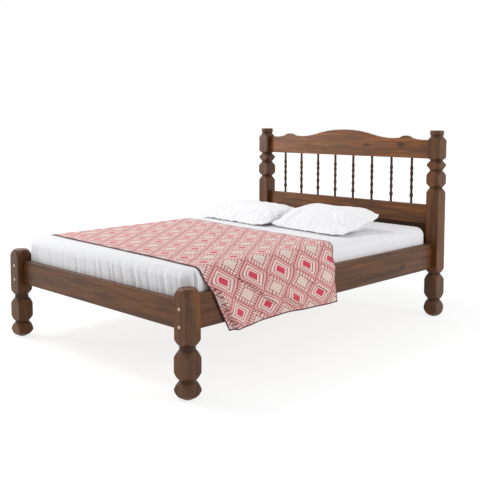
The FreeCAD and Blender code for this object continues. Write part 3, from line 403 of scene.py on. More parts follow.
def printed_cotton(sizes, colours):
    """Reactive-printed heavy cotton, plain woven: matt, slightly nubbly, a pale pink ground with nested lozenges in
    maroon line, cream bands and red or stone hearts, laid out in flat metres so that it follows the folds. It is
    a plain harlequin pattern that stands in for the photo's print."""
    material, tree, shader = new_material("printed_cotton", IOR=1.5, Roughness=0.88, Sheen_Weight=0.15,
        Sheen_Roughness=0.5)
    flat = add(tree, "UVMap", uv_map="Flat")
    tiles = add(tree, "VectorMath", {0: flat, 1: (1 / sizes.lozenge_drop, 1 / sizes.lozenge_length, 0)},
        operation="MULTIPLY")
    inside = add(tree, "VectorMath", {0: tiles}, operation="FRACTION")
    local = add(tree, "VectorMath", {0: inside, 1: (0.5, 0.5, 0.0)}, operation="SUBTRACT")
    folded = add(tree, "VectorMath", {0: local}, operation="ABSOLUTE")
    arms = add(tree, "SeparateXYZ", {0: folded}).outputs
    reach = add(tree, "Math", {0: arms[0], 1: arms[1]}, operation="ADD")
    rest = add(tree, "Math", {0: 1.0, 1: reach}, operation="SUBTRACT")
    depth = add(tree, "Math", {0: reach, 1: rest}, operation="MINIMUM")
    # Lozenges centred in a tile alternate with those centred on its corners
    corner = add(tree, "Math", {0: reach, 1: 0.5}, operation="GREATER_THAN")
    centre = add(tree, "Math", {0: 1.0, 1: corner}, operation="SUBTRACT")
    # Maroon outlines, one step apart, from the heart to the lozenge's edge
    slant = add(tree, "Math", {0: arms[0], 1: arms[1]}, operation="SUBTRACT")
    lines = []
    for value in (depth, slant):
        away = add(tree, "Math", {0: value, 1: LOZENGE_STEP / 2}, operation="PINGPONG")
        lines.append(add(tree, "Math", {0: away, 1: LINE_HALF_WIDTH}, operation="LESS_THAN"))
    past_heart = add(tree, "Math", {0: depth, 1: FIRST_LINE_DEPTH}, operation="GREATER_THAN")
    rings = add(tree, "Math", {0: lines[0], 1: past_heart}, operation="MULTIPLY")
    # In the corner lozenges a ladder of short bars takes the place of the middle outline
    middle = add(tree, "Math", {0: depth, 1: LADDER_DEPTH, 2: 0.05}, operation="COMPARE")
    left_out = add(tree, "Math", {0: middle, 1: corner}, operation="MULTIPLY")
    outlines = add(tree, "Math", {0: rings, 1: left_out}, operation="SUBTRACT", use_clamp=True)
    band = add(tree, "Math", {0: depth, 1: LADDER_DEPTH, 2: LOZENGE_STEP}, operation="COMPARE")
    ladder = add(tree, "Math", {0: band, 1: corner}, operation="MULTIPLY")
    bars = add(tree, "Math", {0: lines[1], 1: ladder}, operation="MULTIPLY")
    drawn = add(tree, "Math", {0: outlines, 1: bars}, operation="MAXIMUM")
    # Hearts: red in the centre lozenges, stone-coloured in the corner ones
    heart = add(tree, "Math", {0: depth, 1: HEART_DEPTH}, operation="LESS_THAN")
    red = add(tree, "Math", {0: heart, 1: centre}, operation="MULTIPLY")
    stone = add(tree, "Math", {0: heart, 1: corner}, operation="MULTIPLY")
    # Cream band between the heart and the middle outline
    cream = add(tree, "Math", {0: depth, 1: CREAM_MIDDLE, 2: CREAM_HALF_WIDTH}, operation="COMPARE")
    worn = add(tree, "TexNoise", {"Vector": flat, "Scale": 60.0, "Detail": 3.0}).outputs["Fac"]
    cream_share = add(tree, "Math", {0: cream, 1: 0.85}, operation="MULTIPLY")
    ground = add(tree, "Mix", {0: cream_share, 6: colours.ground, 7: colours.field}, data_type="RGBA").outputs[2]
    ground = add(tree, "Mix", {0: stone, 6: ground, 7: PRINT_STONE}, data_type="RGBA").outputs[2]
    with_red = add(tree, "Mix", {0: red, 6: ground, 7: colours.heart}, data_type="RGBA").outputs[2]
    ink = add(tree, "MapRange", {"Value": worn, "From Min": 0.3, "From Max": 0.7, "To Min": 0.75, "To Max": 1.0})
    inked = add(tree, "Math", {0: drawn, 1: ink}, operation="MULTIPLY")
    printed = add(tree, "Mix", {0: inked, 6: with_red, 7: colours.outline}, data_type="RGBA").outputs[2]
    # Bound edge, from an attribute that holds the distance to the nearest edge
    edge = add(tree, "Attribute", attribute_name="edge_distance").outputs["Fac"]
    hem = add(tree, "Math", {0: edge, 1: HEM_WIDTH}, operation="LESS_THAN")
    bound = add(tree, "Mix", {0: hem, 6: printed, 7: HEM_BINDING}, data_type="RGBA").outputs[2]
    threads = crossed_threads(tree, flat, sizes.weave_pitch, 0.8)
    fine = add(tree, "Bump", {"Height": threads, "Strength": 0.2, "Distance": 0.0005})
    soft = add(tree, "TexNoise", {"Vector": flat, "Scale": 11.0, "Detail": 3.0, "Distortion": 0.6}).outputs["Fac"]
    creased = add(tree, "Bump", {"Height": soft, "Strength": 0.35, "Distance": 0.012, "Normal": fine})
    connect(tree, shader, Base_Color=bound, Normal=creased)
    return material


def finish_nodes(names, material):
    """Gives CAD nodes their material."""
    for name in names:
        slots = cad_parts[name].data.materials
        slots.clear()
        slots.append(material)


class BED_OT_frame(bpy.types.Operator):
    """Finish the posts, rails, headboard and spindles in stained pine"""

    bl_idname = "bed.frame"
    bl_label = "Stained pine frame"

    def execute(self, context):
        sizes, colours = context.scene.bed_sizes, context.scene.bed_colours
        finish_nodes(POSTS, stained_pine("stained_pine_turned", "Z", sizes, colours, turned=True))
        finish_nodes(SPINDLES, stained_pine("stained_pine_spindles", "Z", sizes, colours, tone=0.50))
        # The side rails take a darker copy of the stain, as painted shade under the bedspread that hangs over them.
        finish_nodes(SIDE_RAILS, stained_pine("stained_pine_side_rails_painted_shade", "Y", sizes, colours, tone=0.78))
        finish_nodes(CROSS_RAILS, stained_pine("stained_pine_cross_rails", "X", sizes, colours))
        # The headboard's lower rail and crest rail take lighter copies of the same stain, as painted light where the
        # light falls more strongly on the headboard.
        finish_nodes(["headboard_lower_rail"], stained_pine("stained_pine_lower_rail_painted_light", "X", sizes, colours, tone=1.25))
        finish_nodes(["headboard_crest_rail"], stained_pine("stained_pine_crest_painted_light", "X", sizes, colours, tone=1.55))
        # The filler board under the headboard's lower rail takes a far darker copy of the stain, as painted shade of
        # the narrow gap between the mattress's head end and the headboard.
        finish_nodes(["head_filler_board"], stained_pine("stained_pine_filler_painted_shade", "X", sizes, colours, tone=0.38))
        return {"FINISHED"}


class BED_OT_slats(bpy.types.Operator):
    """Finish the slats, ledgers, centre beam and centre leg in raw pine"""

    bl_idname = "bed.slats"
    bl_label = "Raw pine slats"

    def execute(self, context):
        colours = context.scene.bed_colours
        finish_nodes(SLATS, raw_pine("raw_pine_slats", "X", colours))
        finish_nodes(["ledger_left", "ledger_right", "centre_beam"], raw_pine("raw_pine_battens", "Y", colours))
        finish_nodes(["centre_leg", "leg_dowel"], raw_pine("raw_pine_leg", "Z", colours))
        return {"FINISHED"}


class BED_OT_hardware(bpy.types.Operator):
    """Finish the bolts, screws, hangers, caps and glides"""

    bl_idname = "bed.hardware"
    bl_label = "Hardware"

    def execute(self, context):
        finish_nodes(STEEL, zinc_steel())
        finish_nodes(["bolt_caps"], moulded_plastic("cream_polyethylene", CAP_CREAM, 0.45))
        finish_nodes(["foot_glides"], moulded_plastic("black_polyethylene", GLIDE_BLACK, 0.55))
        return {"FINISHED"}


def mattress_outline(counts):
    """Directions round a rounded rectangle, anticlockwise from the left foot corner: for each point, the share of
    the straight sides it lies at and its outward normal. The four sides hold plain steps, and the corners turn
    through quarter circles."""
    foot, side, head, corner = counts
    shares, normals = [], []
    runs = (
        ((-1, -1), (1, -1), (0, -1), foot), ((1, -1), (1, 1), (1, 0), side),
        ((1, 1), (-1, 1), (0, 1), head), ((-1, 1), (-1, -1), (-1, 0), side),
    )
    for start, end, normal, count in runs:
        t = np.linspace(0, 1, count, endpoint=False)[:, None]
        shares.append((1 - t) * start + t * np.array(end))
        normals.append(np.repeat(np.array([normal], float), count, 0))
        turn = np.linspace(0, math.pi / 2, corner, endpoint=False) + math.atan2(normal[1], normal[0])
        shares.append(np.repeat(np.array([end], float), corner, 0))
        normals.append(np.stack([np.cos(turn), np.sin(turn)], -1))
    return np.concatenate(shares), np.concatenate(normals)


def mattress_profile(under, bottom, top, lower_radius, upper_radius, half_width, steps):
    """Profile from the turned-under edge, round the lower edge, up the wall, round the upper edge and in over the
    top: inset, height, and the outward and upward parts of the normal."""
    turn = np.linspace(0, math.pi / 2, steps)
    wall = np.linspace(bottom + lower_radius, top - upper_radius, 2 * steps)[1:-1]
    inward = upper_radius + (half_width - SKIN_OPENING - upper_radius) * np.linspace(0, 1, 3 * steps)[1:] ** 1.3
    inset = np.concatenate([[under, (under + lower_radius) / 2], lower_radius * (1 - np.sin(turn)), 0 * wall,
        upper_radius * (1 - np.cos(turn)), inward])
    height = np.concatenate([[bottom, bottom], bottom + lower_radius * (1 - np.cos(turn)), wall,
        top - upper_radius * (1 - np.sin(turn)), top + 0 * inward])
    out = np.concatenate([[0, 0], np.sin(turn), 1 + 0 * wall, np.cos(turn), 0 * inward])
    up = np.concatenate([[-1, -1], -np.cos(turn), 0 * wall, np.sin(turn), 1 + 0 * inward])
    return inset, height, out, up


def wrapped_block(counts, steps, growth, under, relief):
    """Skin round the mattress: the profile carried round the rounded rectangle, each point moved along its normal by
    relief(x, y, z, normal x, normal y, out, up)."""
    shares, normals = mattress_outline(counts)
    half_width, half_length = MATTRESS_HALF_WIDTH + growth, MATTRESS_HALF_LENGTH + growth
    inset, height, out, up = mattress_profile(
        under, MATTRESS_BOTTOM - growth, MATTRESS_TOP + growth,
        MATTRESS_LOWER_RADIUS + growth, MATTRESS_UPPER_RADIUS + growth, half_width, steps)
    corner = np.clip(MATTRESS_CORNER_RADIUS + growth - inset, 0.010, None)[:, None]
    x = shares[None, :, 0] * (half_width - inset[:, None] - corner) + normals[None, :, 0] * corner
    y = shares[None, :, 1] * (half_length - inset[:, None] - corner) + normals[None, :, 1] * corner + MATTRESS_CENTRE_Y
    z = np.repeat(height[:, None], len(shares), 1)
    normal_x, normal_y = normals[None, :, 0] * out[:, None], normals[None, :, 1] * out[:, None]
    normal_z = np.repeat(up[:, None], len(shares), 1)
    moved = relief(x, y, z, normal_x, normal_y, normal_z)
    return np.stack([x + moved * normal_x, y + moved * normal_y, z + moved * normal_z], -1)


def corner_turn(x, y, normal_x, normal_y):
    """How far round the near foot corner a point lies, in radians from the foot; nought elsewhere."""
    return np.arctan2(normal_x, np.maximum(-normal_y, 0)) * (y < NEAR_CORNER_Y) * (x > 0)


def pad_relief(x, y, z, normal_x, normal_y, normal_z):
    """The foam core stands a little inside its sheet, with a shallow swell along the middle of its walls, a sewn
    tape line near the top and bottom edges, and a hollow behind the sheet's tuck at the near corner."""
    wall = np.abs(normal_x) + np.abs(normal_y)
    tape = hump(z, MATTRESS_BOTTOM + 0.024, 0.004) + hump(z, MATTRESS_TOP - 0.058, 0.004)
    turned = corner_turn(x, y, normal_x, normal_y)
    pressed = -0.017 * wall * hump(turned, TUCK_TURN, 0.16)
    walls = pressed - 0.0095 + 0.0030 * wall * hump(z, 0.46, 0.06) + 0.0020 * wall * tape
    return walls + 0.0045 * np.clip(normal_z, 0, 1) - 0.0005 * np.clip(-normal_z, 0, 1)


# Pleats of the fitted sheet across the foot end: place, width and depth
FOOT_PLEATS = (
    (-0.590, 0.020, 0.25), (-0.455, 0.030, 0.30), (-0.330, 0.018, 0.22), (-0.205, 0.024, 0.45), (-0.120, 0.016, 0.40),
    (-0.030, 0.020, 0.55), (0.020, 0.013, 0.45), (0.092, 0.018, 0.85), (0.128, 0.011, 0.50), (0.190, 0.026, 0.95),
    (0.285, 0.030, 1.00), (0.340, 0.012, 0.55), (0.400, 0.022, 0.90), (0.470, 0.014, 0.60), (0.515, 0.024, 1.00),
    (0.575, 0.012, 0.70), (0.618, 0.016, 0.80),
)


def sheet_relief(depth):
    """Height of the sheet's pleats and waves: valleys at fixed places across the foot, slanting towards the near
    corner and deepening downwards; broad slow waves on the sides; long shallow swells on the top; a tucked fold
    at the near corner."""

    def relief(x, y, z, normal_x, normal_y, normal_z):
        foot = np.clip(-normal_y, 0, 1) ** 0.7
        drop = ramp_up(MATTRESS_TOP + 0.004 - z, 0.0, 0.11)
        lean = (MATTRESS_TOP - z) * 0.16
        pleats = sum(
            -share * (hump(x - lean, place, width * 0.55) - 0.45 * hump(x - lean, place + width, width * 0.6))
            for place, width, share in FOOT_PLEATS)
        foot_part = depth * foot * drop * pleats * 1.25
        turned = corner_turn(x, y, normal_x, normal_y)
        below = ramp_up(MATTRESS_TOP + 0.001 - z, 0.004, 0.030) * (y < NEAR_CORNER_Y) * (x > 0)
        lap = 0.0060 * ramp_up(turned, 0.45, 1.00) * (1 - ramp_up(turned, 1.10, 1.28))
        valley = -0.0205 * hump(turned, TUCK_TURN, 0.085)
        proud = 0.0050 * ramp_up(turned, 1.37, 1.42) * (1 - ramp_up(turned, 1.44, 1.57))
        tuck = below * (lap + valley + proud)
        waves = -0.0012 + 0.0012 * np.sin(y * 23 + 2 * np.sin(y * 7)) + 0.0008 * np.sin(y * 61 + z * 25)
        side = np.abs(normal_x) ** 0.7 * waves * drop
        swells = -0.0010 + 0.0006 * np.sin(x * 8.1 + 1.7 * np.sin(y * 5.3)) + 0.0004 * np.sin(y * 17 + x * 11)
        top = np.clip(normal_z, 0, 1) * swells
        calm = 1 - ramp_up(RAIL_TOP_SIDE + 0.03 - z, 0.0, 0.03) * 0.6
        return foot_part * (1 - 0.2 * ramp_up(0.46 - z, 0, 0.03)) + tuck + side * calm + top - CLEARANCE

    return relief


class BED_OT_mattress(bpy.types.Operator):
    """Make the foam mattress in quilted ticking"""

    bl_idname = "bed.mattress"
    bl_label = "Mattress"

    def execute(self, context):
        points = wrapped_block((60, 90, 60, 10), 8, 0.0, MATTRESS_HALF_WIDTH - SKIN_OPENING, pad_relief)
        rows, columns = points.shape[:2]
        rings = (np.arange(columns)[::-1], (rows - 1) * columns + np.arange(columns))
        piece = make_piece("mattress_pad", points, grid_faces(rows, columns, True), rings=rings)
        piece.data.materials.append(ticking())
        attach(piece, "mattress")
        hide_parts("mattress")
        return {"FINISHED"}


class BED_OT_fitted_sheet(bpy.types.Operator):
    """Make the fitted sheet with its pleats"""

    bl_idname = "bed.fitted_sheet"
    bl_label = "Fitted sheet"

    def execute(self, context):
        sizes, colours = context.scene.bed_sizes, context.scene.bed_colours
        relief = sheet_relief(sizes.pleat_depth)
        points = wrapped_block((280, 120, 50, 36), 9, SHEET_STAND_OFF, SHEET_TURN_UNDER, relief)
        rows, columns = points.shape[:2]
        top_ring = (rows - 1) * columns + np.arange(columns)
        piece = make_piece("fitted_sheet_cloth", points, grid_faces(rows, columns, True), rings=(top_ring,))
        thick = piece.modifiers.new("Thickness", "SOLIDIFY")
        thick.thickness = 0.0008
        thick.offset = -1.0
        piece.data.materials.append(woven_cotton("white_cotton_sheet", sizes, colours.sheet, 0.12))
        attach(piece, "mattress")
        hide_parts("fitted_sheet")
        return {"FINISHED"}


# The bedspread's path across the bed: heights of its far and near hems and the plane it hangs in
FAR_HEM = 0.330
NEAR_HEM = 0.264
HANG_X = 0.7385
EDGE_RADIUS = 0.052
CLOTH_TOP = 0.5752
# How far it stands off the mattress's side, the run of its flat top, and the width that ripples take up
SPREAD_STAND_OFF = 0.0035
FLAT_RUN = MATTRESS_HALF_WIDTH + SPREAD_STAND_OFF - EDGE_RADIUS
RIPPLE_EASE = 1.02
# Foot edge and head edge of the bedspread: x (or past the near edge, how far down) and y
FOOT_EDGE = ((-0.95, -0.862), (-0.64, -0.866), (-0.26, -0.888), (0.12, -0.903), (0.38, -0.914), (0.53, -0.928),
    (0.64, -0.936), (0.716, -0.934), (0.81, -0.890), (0.91, -0.840), (1.02, -0.783))
HEAD_EDGE = ((-0.95, 0.185), (-0.58, 0.181), (-0.09, 0.127), (0.32, 0.096), (0.63, 0.070), (0.70, 0.036),
    (0.77, 0.010), (0.86, -0.002), (0.94, 0.014), (1.02, 0.030))
# Folds that widen towards the near hem: place along the bed, width and share of the full depth
HEM_FOLDS = ((-0.700, 0.080, 0.55), (-0.455, 0.075, 0.80), (-0.270, 0.060, 0.55), (-0.080, 0.075, 0.65))
# Creases pressed into the hanging part: start and end as place along the bed and height, width of
# the slow side, width of the steep side, and how far the crease stands out
HANG_CREASES = (
    (-0.740, 0.520, -0.470, 0.330, 0.050, 0.010, 0.018), (-0.430, 0.372, -0.270, 0.290, 0.045, 0.010, 0.018),
    (-0.600, 0.270, -0.480, 0.410, 0.040, 0.009, 0.014), (-0.890, 0.500, -0.740, 0.250, 0.075, 0.014, 0.026),
    (-0.250, 0.440, -0.060, 0.330, 0.045, 0.012, 0.012),
)


def spread_path(run):
    """Place on the path at signed run from the bed's middle: flat over the top, a quarter circle over each edge,
    then straight down into the hanging plane. Gives x, z and the outward normal."""
    side, length = np.sign(run), np.abs(run)
    arc = EDGE_RADIUS * math.pi / 2
    angle = np.clip((length - FLAT_RUN) / EDGE_RADIUS, 0, math.pi / 2)
    down = np.clip(length - FLAT_RUN - arc, 0, None)
    spread = ramp_up(down, 0.0, 0.075) * (HANG_X - MATTRESS_HALF_WIDTH - SPREAD_STAND_OFF)
    x = side * (np.minimum(length, FLAT_RUN) + EDGE_RADIUS * np.sin(angle) + spread)
    z = CLOTH_TOP - EDGE_RADIUS * (1 - np.cos(angle)) - down
    return x, z, side * np.sin(angle), np.cos(angle)


def crease_lift(y, z, crease):
    """Ridge along a slanting line, slow on its upper side and steep on its lower, fading out at both ends."""
    start_y, start_z, end_y, end_z, slow, steep, height = crease
    length = math.hypot(end_y - start_y, end_z - start_z)
    step_y, step_z = (end_y - start_y) / length, (end_z - start_z) / length
    along = (y - start_y) * step_y + (z - start_z) * step_z
    side = (z - start_z) * step_y - (y - start_y) * step_z
    profile = np.where(side > 0, 1 - ramp_up(side, 0.0, slow), 1 - ramp_up(-side, 0.0, steep))
    return height * profile * ramp_up(along, -0.03, 0.06) * (1 - ramp_up(along, length - 0.05, length + 0.03))


class BED_OT_bedspread(bpy.types.Operator):
    """Drape the printed bedspread across the bed"""

    bl_idname = "bed.bedspread"
    bl_label = "Bedspread"

    def execute(self, context):
        sizes, colours = context.scene.bed_sizes, context.scene.bed_colours
        top_run = FLAT_RUN + EDGE_RADIUS * math.pi / 2
        near_run = top_run + CLOTH_TOP - EDGE_RADIUS - NEAR_HEM
        far_run = top_run + CLOTH_TOP - EDGE_RADIUS - FAR_HEM
        run = np.concatenate([np.linspace(-far_run, 0.55, 120)[:-1], np.linspace(0.55, near_run, 110)])[:, None]
        share = np.linspace(0, 1, 150)[None, :]
        x, z, out, up = spread_path(run)
        foot = np.interp(run, *zip(*FOOT_EDGE))
        head = np.interp(run, *zip(*HEAD_EDGE))
        y = foot + (head - foot) * share
        down = np.clip(np.abs(run) - top_run, 0, None)
        low = ramp_up(down, 0.02, 0.26)
        folds = sum(part * hump(y, place, width * (0.75 + 0.35 * low)) for place, width, part in HEM_FOLDS)
        near = sizes.fold_depth * low * folds * (run > 0)
        far = 0.010 * low * (0.5 + 0.5 * np.sin(y * 38 + 1.5 * np.sin(y * 11))) * (run < 0)
        ripple = 0.0012 * (1 - low) * (np.sin(y * 19 + 3 * np.sin(run * 7)) * np.sin(run * 13 + y * 6))
        curl = -0.016 * ramp_up(down, 0.200, 0.262) * ramp_up(y, -0.66, -0.45) * (run > 0)
        creases = sum(crease_lift(y, z, crease) for crease in HANG_CREASES) * ramp_up(down, 0.0, 0.03) * (run > 0)
        lift = near + far + creases + np.abs(ripple)
        hem_rise = (0.013 * hump(y, -0.42, 0.20) + 0.0012 * np.sin(y * 30)) * low * (run > 0)
        px = x + lift * out + np.maximum(curl, -lift)
        pz = z + lift * up + hem_rise
        points = np.stack([px, y, pz], -1)
        width = RIPPLE_EASE * (head - foot)
        flat = np.stack(np.broadcast_arrays(near_run - run, width * share), -1)
        rows, columns = points.shape[:2]
        piece = make_piece("bedspread_cloth", points, grid_faces(rows, columns, False)[:, ::-1], flat=flat)
        to_hems = np.minimum(flat[..., 0], near_run + far_run - flat[..., 0])
        distance = np.minimum(to_hems, np.minimum(width * share, width * (1 - share)))
        edge = piece.data.attributes.new("edge_distance", "FLOAT", "POINT")
        edge.data.foreach_set("value", distance.astype(np.float32).ravel())
        thick = piece.modifiers.new("Thickness", "SOLIDIFY")
        thick.thickness = 0.0025
        thick.offset = 1.0
        piece.data.materials.append(printed_cotton(sizes, colours))
        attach(piece, "bedspread")
        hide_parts("bedspread")
        return {"FINISHED"}


PILLOW_HALF_WIDTH = 0.314
PILLOW_HALF_DEPTH = 0.1875
PILLOW_YAW = math.radians(-5.5)
# For each pillow: centre, crown height, how far its right end moves at the front and at the back,
# how far its left end moves at the front, and how high its back right corner is pushed up
PILLOWS = {
    "left": (-0.311, 0.452, 0.110, 0.010, 0.0, -0.034, 0.008),
    "right": (0.331, 0.452, 0.133, 0.0, -0.050, -0.020, 0.024),
}


def gather_depth(along, inward, half, count, seed):
    """Little valleys where a case is gathered on its seam: each starts just inside the seam, widens and fades
    inwards. Their places, widths and depths vary from a fixed seed."""
    vary = np.random.default_rng(seed)
    places = np.linspace(-half, half, count) + vary.uniform(-0.4, 0.4, count) * 2 * half / count
    depths = vary.uniform(0.003, 0.0150, count)
    reaches = vary.uniform(0.014, 0.036, count)
    leans = vary.uniform(-0.25, 0.25, count)
    total = 0 * along * inward
    for place, depth, reach, lean in zip(places, depths, reaches, leans):
        start = 1 - np.exp(-inward / 0.005)
        total = total - depth * start * hump(along, place + lean * inward,
            0.0058 + 0.13 * inward) * np.exp(-inward / reach)
    return total


def pillow_points(side, crown_scale):
    """Two panels over a square of p and q from -1 to 1, sewn round their edge. The plan is a rectangle whose sides
    draw in between pointed corners; the seam rises from front to back; each panel stands off the seam by a
    rounded product of the two edge distances, full on top and flatter below."""
    centre_x, centre_y, crown, front_shift, back_shift, left_shift, ear = PILLOWS[side]
    crown = crown * crown_scale
    columns, rows = 124, 78
    p = np.linspace(-1, 1, columns)[None, :]
    q = np.linspace(-1, 1, rows)[:, None]
    blunt = 1 - 0.045 * (np.abs(p) * np.abs(q)) ** 6
    x = PILLOW_HALF_WIDTH * p * blunt * (1 - 0.060 * (1 - q ** 2)) + 0 * q
    y = PILLOW_HALF_DEPTH * q * blunt * (1 - 0.05 * (1 - p ** 2)) + 0 * p
    right = ((p + 1) / 2) ** 3
    x = x + right * (front_shift * ((1 - q) / 2) ** 2 + back_shift * ((1 + q) / 2))
    x = x + left_shift * ((1 - p) / 2) ** 4 * ((1 - q) / 2)
    seam = crown * (0.33 + 0.25 * q) + ear * ((1 + p) / 2) ** 4 * ((1 + q) / 2) ** 2
    seam = seam + 0.010 * np.abs(p) ** 8 * ((1 - q) / 2) ** 3
    shape_p = (1 - np.abs(p) ** 3.8) ** 0.52
    shape_q = (1 - np.abs(q) ** 2.6) ** 0.55
    top = seam + crown * (0.62 - 0.06 * q) * shape_p * shape_q
    fall = crown * (0.32 + 0.22 * q) * (1 - np.abs(p) ** 4) ** 0.5 * (1 - np.abs(q) ** 4) ** 0.5
    bottom = np.maximum(seam - fall, 0.003)
    across, along = p * PILLOW_HALF_WIDTH, q * PILLOW_HALF_DEPTH
    # Front, back, right and left seam: place along it, distance from it, half length, count and seed
    gathers = sum(gather_depth(*seam_gathers) for seam_gathers in (
        (across, (1 + q) * PILLOW_HALF_DEPTH, 0.29, 19, 5), (across, (1 - q) * PILLOW_HALF_DEPTH, 0.29, 18, 6),
        (along, (1 - p) * PILLOW_HALF_WIDTH, 0.16, 12, 7), (along, (1 + p) * PILLOW_HALF_WIDTH, 0.16, 12, 8),
    ))
    slump = 0.0022 * np.sin(9 * x + 4 * np.sin(7 * y + centre_x)) * np.sin(17 * y + 3 * x + 5 * centre_x)
    slump = slump * shape_p * shape_q
    top = top + gathers + slump
    bottom = np.maximum(bottom - 0.5 * gathers, 0.003)
    cos, sin = math.cos(PILLOW_YAW), math.sin(PILLOW_YAW)
    px, py = centre_x + cos * x - sin * y, centre_y + sin * x + cos * y
    return [np.stack([px, py, SHEET_TOP + height + CLEARANCE], -1) for height in (top, bottom)]


def sewn_panels(top, bottom):
    """Points and quads of two equal grids that share their border."""
    rows, columns = top.shape[:2]
    upper = np.arange(rows * columns).reshape(rows, columns)
    lower = upper.copy()
    lower[1:-1, 1:-1] = rows * columns + np.arange((rows - 2) * (columns - 2)).reshape(rows - 2, columns - 2)
    quads = [
        np.stack([panel[:-1, :-1], panel[:-1, 1:], panel[1:, 1:], panel[1:, :-1]], -1).reshape(-1, 4)
        for panel in (upper, lower)]
    points = np.concatenate([top.reshape(-1, 3), bottom[1:-1, 1:-1].reshape(-1, 3)])
    border = np.concatenate([upper[0], upper[-1], upper[1:-1, 0], upper[1:-1, -1]])
    return points, np.concatenate([quads[0], quads[1][:, ::-1]]), border


def coordinates(mesh):
    """Vertex positions of a mesh as one array."""
    flat = np.zeros(len(mesh.vertices) * 3, np.float32)
    mesh.vertices.foreach_get("co", flat)
    return flat.reshape(-1, 3)


def stuff(piece, border, spare, pressure, reach, frames):
    """Fills a sewn case: its cloth is cut a little larger than its shape, held at the seam and blown up for some
    frames without gravity, so that it buckles at the seam as a real case does. No point moves further than reach,
    and none goes below the sheet."""
    scene = bpy.context.scene
    start = coordinates(piece.data)
    seam = piece.vertex_groups.new(name="seam")
    seam.add([int(i) for i in border], 1.0, "REPLACE")
    cloth = piece.modifiers.new("Stuffing", "CLOTH")
    cloth.settings.quality = 6
    cloth.settings.mass = 0.25
    cloth.settings.tension_stiffness = 25.0
    cloth.settings.compression_stiffness = 25.0
    cloth.settings.shear_stiffness = 6.0
    cloth.settings.bending_stiffness = 0.08
    cloth.settings.vertex_group_mass = "seam"
    cloth.settings.shrink_min = -spare
    cloth.settings.use_pressure = True
    cloth.settings.uniform_pressure_force = pressure
    cloth.settings.effector_weights.gravity = 0.0
    cloth.collision_settings.use_collision = False
    cloth.point_cache.frame_start = 1
    cloth.point_cache.frame_end = frames
    for number in range(1, frames + 1):
        scene.frame_set(number)
    shaped = coordinates(piece.evaluated_get(bpy.context.evaluated_depsgraph_get()).data)
    scene.frame_set(1)
    piece.modifiers.remove(cloth)
    step = shaped - start
    length = np.linalg.norm(step, axis=1, keepdims=True)
    step *= np.minimum(1, reach / np.maximum(length, 1e-9))
    moved = start + step
    moved[:, 2] = np.maximum(moved[:, 2], SHEET_TOP + CLEARANCE)
    piece.data.vertices.foreach_set("co", moved.astype(np.float32).ravel())
    piece.data.update()


class BED_OT_pillows(bpy.types.Operator):
    """Make the two pillows"""

    bl_idname = "bed.pillows"
    bl_label = "Pillows"

    def execute(self, context):
        sizes, colours = context.scene.bed_sizes, context.scene.bed_colours
        cotton = woven_cotton("white_cotton_pillowcase", sizes, colours.cotton, 0.30)
        for side in PILLOWS:
            points, quads, border = sewn_panels(*pillow_points(side, sizes.pillow_fullness))
            piece = make_piece(f"pillow_{side}_stuffed", points, quads)
            stuff(piece, border, spare=0.06, pressure=2.5, reach=0.012, frames=20)
            smooth = piece.modifiers.new("Smooth", "SUBSURF")
            smooth.levels = smooth.render_levels = 1
            piece.data.materials.append(cotton)
            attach(piece, f"pillow_{side}")
            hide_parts(f"pillow_{side}")
        return {"FINISHED"}


def area_lamp(name, place, target, size, power):
    """Square soft box at a place, turned to a target."""
    data = bpy.data.lights.new(name, "AREA")
    data.shape = "SQUARE"
    data.size = size
    data.energy = power
    lamp = bpy.data.objects.new(name, data)
    bpy.context.scene.collection.objects.link(lamp)
    lamp.location = place
    towards = np.array(target, float) - np.array(place, float)
    flat = math.hypot(towards[0], towards[1])
    lamp.rotation_euler = (math.atan2(flat, -towards[2]), 0, math.atan2(-towards[0], towards[1]))


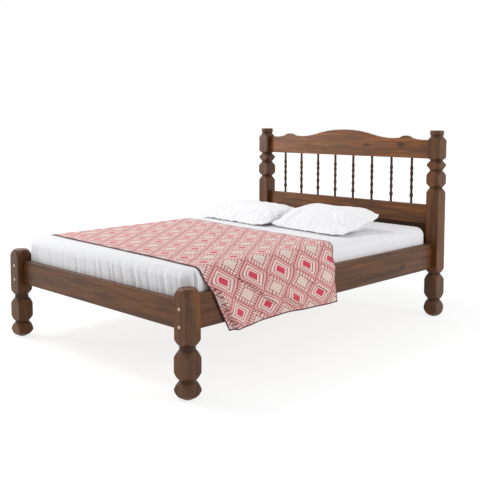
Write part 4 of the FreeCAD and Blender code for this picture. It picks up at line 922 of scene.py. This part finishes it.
class BED_OT_stage(bpy.types.Operator):
    """Make the pale floor, the soft studio light and the camera"""

    bl_idname = "bed.stage"
    bl_label = "Stage"

    def execute(self, context):
        scene = context.scene
        scene.view_settings.view_transform = "Standard"
        corners = np.array([(-30, -30, 0), (30, -30, 0), (30, 30, 0), (-30, 30, 0)], float)
        floor = make_piece("studio_floor", corners, np.array([[0, 1, 2, 3]]))
        # Painted studio floor: plain white, matt; the camera and mirror-like surfaces see it fade to
        # the white of the background away from the bed
        material, tree, shader = new_material("white_studio_floor", Roughness=0.9, Base_Color=FLOOR_WHITE)
        seen = seen_directly(tree)
        place = add(tree, "TexCoord").outputs["Object"]
        away = add(tree, "VectorMath", {0: place}, operation="LENGTH").outputs["Value"]
        fade = add(tree, "MapRange", {"Value": away, "From Min": 1.5, "From Max": 4.0, "To Min": 0.70, "To Max": 1.0})
        share = add(tree, "Math", {0: seen, 1: fade}, operation="MULTIPLY")
        glow = add(tree, "Emission", {"Color": (1, 1, 1, 1), "Strength": 1.12})
        mixed = add(tree, "MixShader", {0: share, 1: shader, 2: glow})
        output = next(node for node in tree.nodes if node.type == "OUTPUT_MATERIAL")
        tree.links.new(mixed.outputs[0], output.inputs[0])
        floor.data.materials.append(material)
        world = bpy.data.worlds.new("studio")
        scene.world = world
        world.use_nodes = True
        tree = world.node_tree
        tree.nodes.clear()
        seen = seen_directly(tree)
        strength = add(tree, "MapRange", {"Value": seen, "To Min": 0.60, "To Max": 1.0})
        sky = add(tree, "Background", {"Color": (1, 1, 1, 1), "Strength": strength})
        add(tree, "OutputWorld", {"Surface": sky})
        area_lamp("key_softbox", (-2.3, -1.5, 4.2), (0, 0.1, 0.5), 1.4, 85.0)
        area_lamp("side_softbox", (4.5, 1.5, 2.1), (0.4, -0.3, 0.4), 1.2, 64.0)
        area_lamp("foot_softbox", (-4.4, -2.9, 1.5), (0, -0.9, 0.5), 1.0, 62.0)
        data = bpy.data.cameras.new("camera")
        data.sensor_width = 36.0
        data.lens = 57.99
        data.shift_y = -0.1172
        data.clip_end = 100.0
        camera = bpy.data.objects.new("camera", data)
        scene.collection.objects.link(camera)
        camera.location = (3.2723, -3.2665, 1.2558)
        camera.rotation_euler = (math.radians(90 - 4.87), 0, math.radians(44.88))
        scene.camera = camera
        return {"FINISHED"}


class BED_PT_panel(bpy.types.Panel):
    """Sizes, colours and steps of the bed"""

    bl_idname = "BED_PT_panel"
    bl_label = "Turned wood bed"
    bl_space_type = "VIEW_3D"
    bl_region_type = "UI"
    bl_category = "Bed"

    def draw(self, context):
        for group in (context.scene.bed_sizes, context.scene.bed_colours):
            column = self.layout.column()
            for name in group.__annotations__:
                column.prop(group, name)
        for step in STEPS:
            self.layout.operator(step.bl_idname)


STEPS = (BED_OT_frame, BED_OT_slats, BED_OT_hardware, BED_OT_mattress, BED_OT_fitted_sheet, BED_OT_bedspread,
    BED_OT_pillows, BED_OT_stage)
CLASSES = (BedSizes, BedColours) + STEPS + (BED_PT_panel,)


def register():
    for cls in CLASSES:
        bpy.utils.register_class(cls)
    bpy.types.Scene.bed_sizes = bpy.props.PointerProperty(type=BedSizes)
    bpy.types.Scene.bed_colours = bpy.props.PointerProperty(type=BedColours)


def unregister():
    del bpy.types.Scene.bed_colours
    del bpy.types.Scene.bed_sizes
    for cls in reversed(CLASSES):
        bpy.utils.unregister_class(cls)


def main():
    """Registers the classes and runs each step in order."""
    register()
    bpy.ops.bed.frame()
    bpy.ops.bed.slats()
    bpy.ops.bed.hardware()
    bpy.ops.bed.mattress()
    bpy.ops.bed.fitted_sheet()
    bpy.ops.bed.bedspread()
    bpy.ops.bed.pillows()
    bpy.ops.bed.stage()


if __name__ == "__main__":
    main()
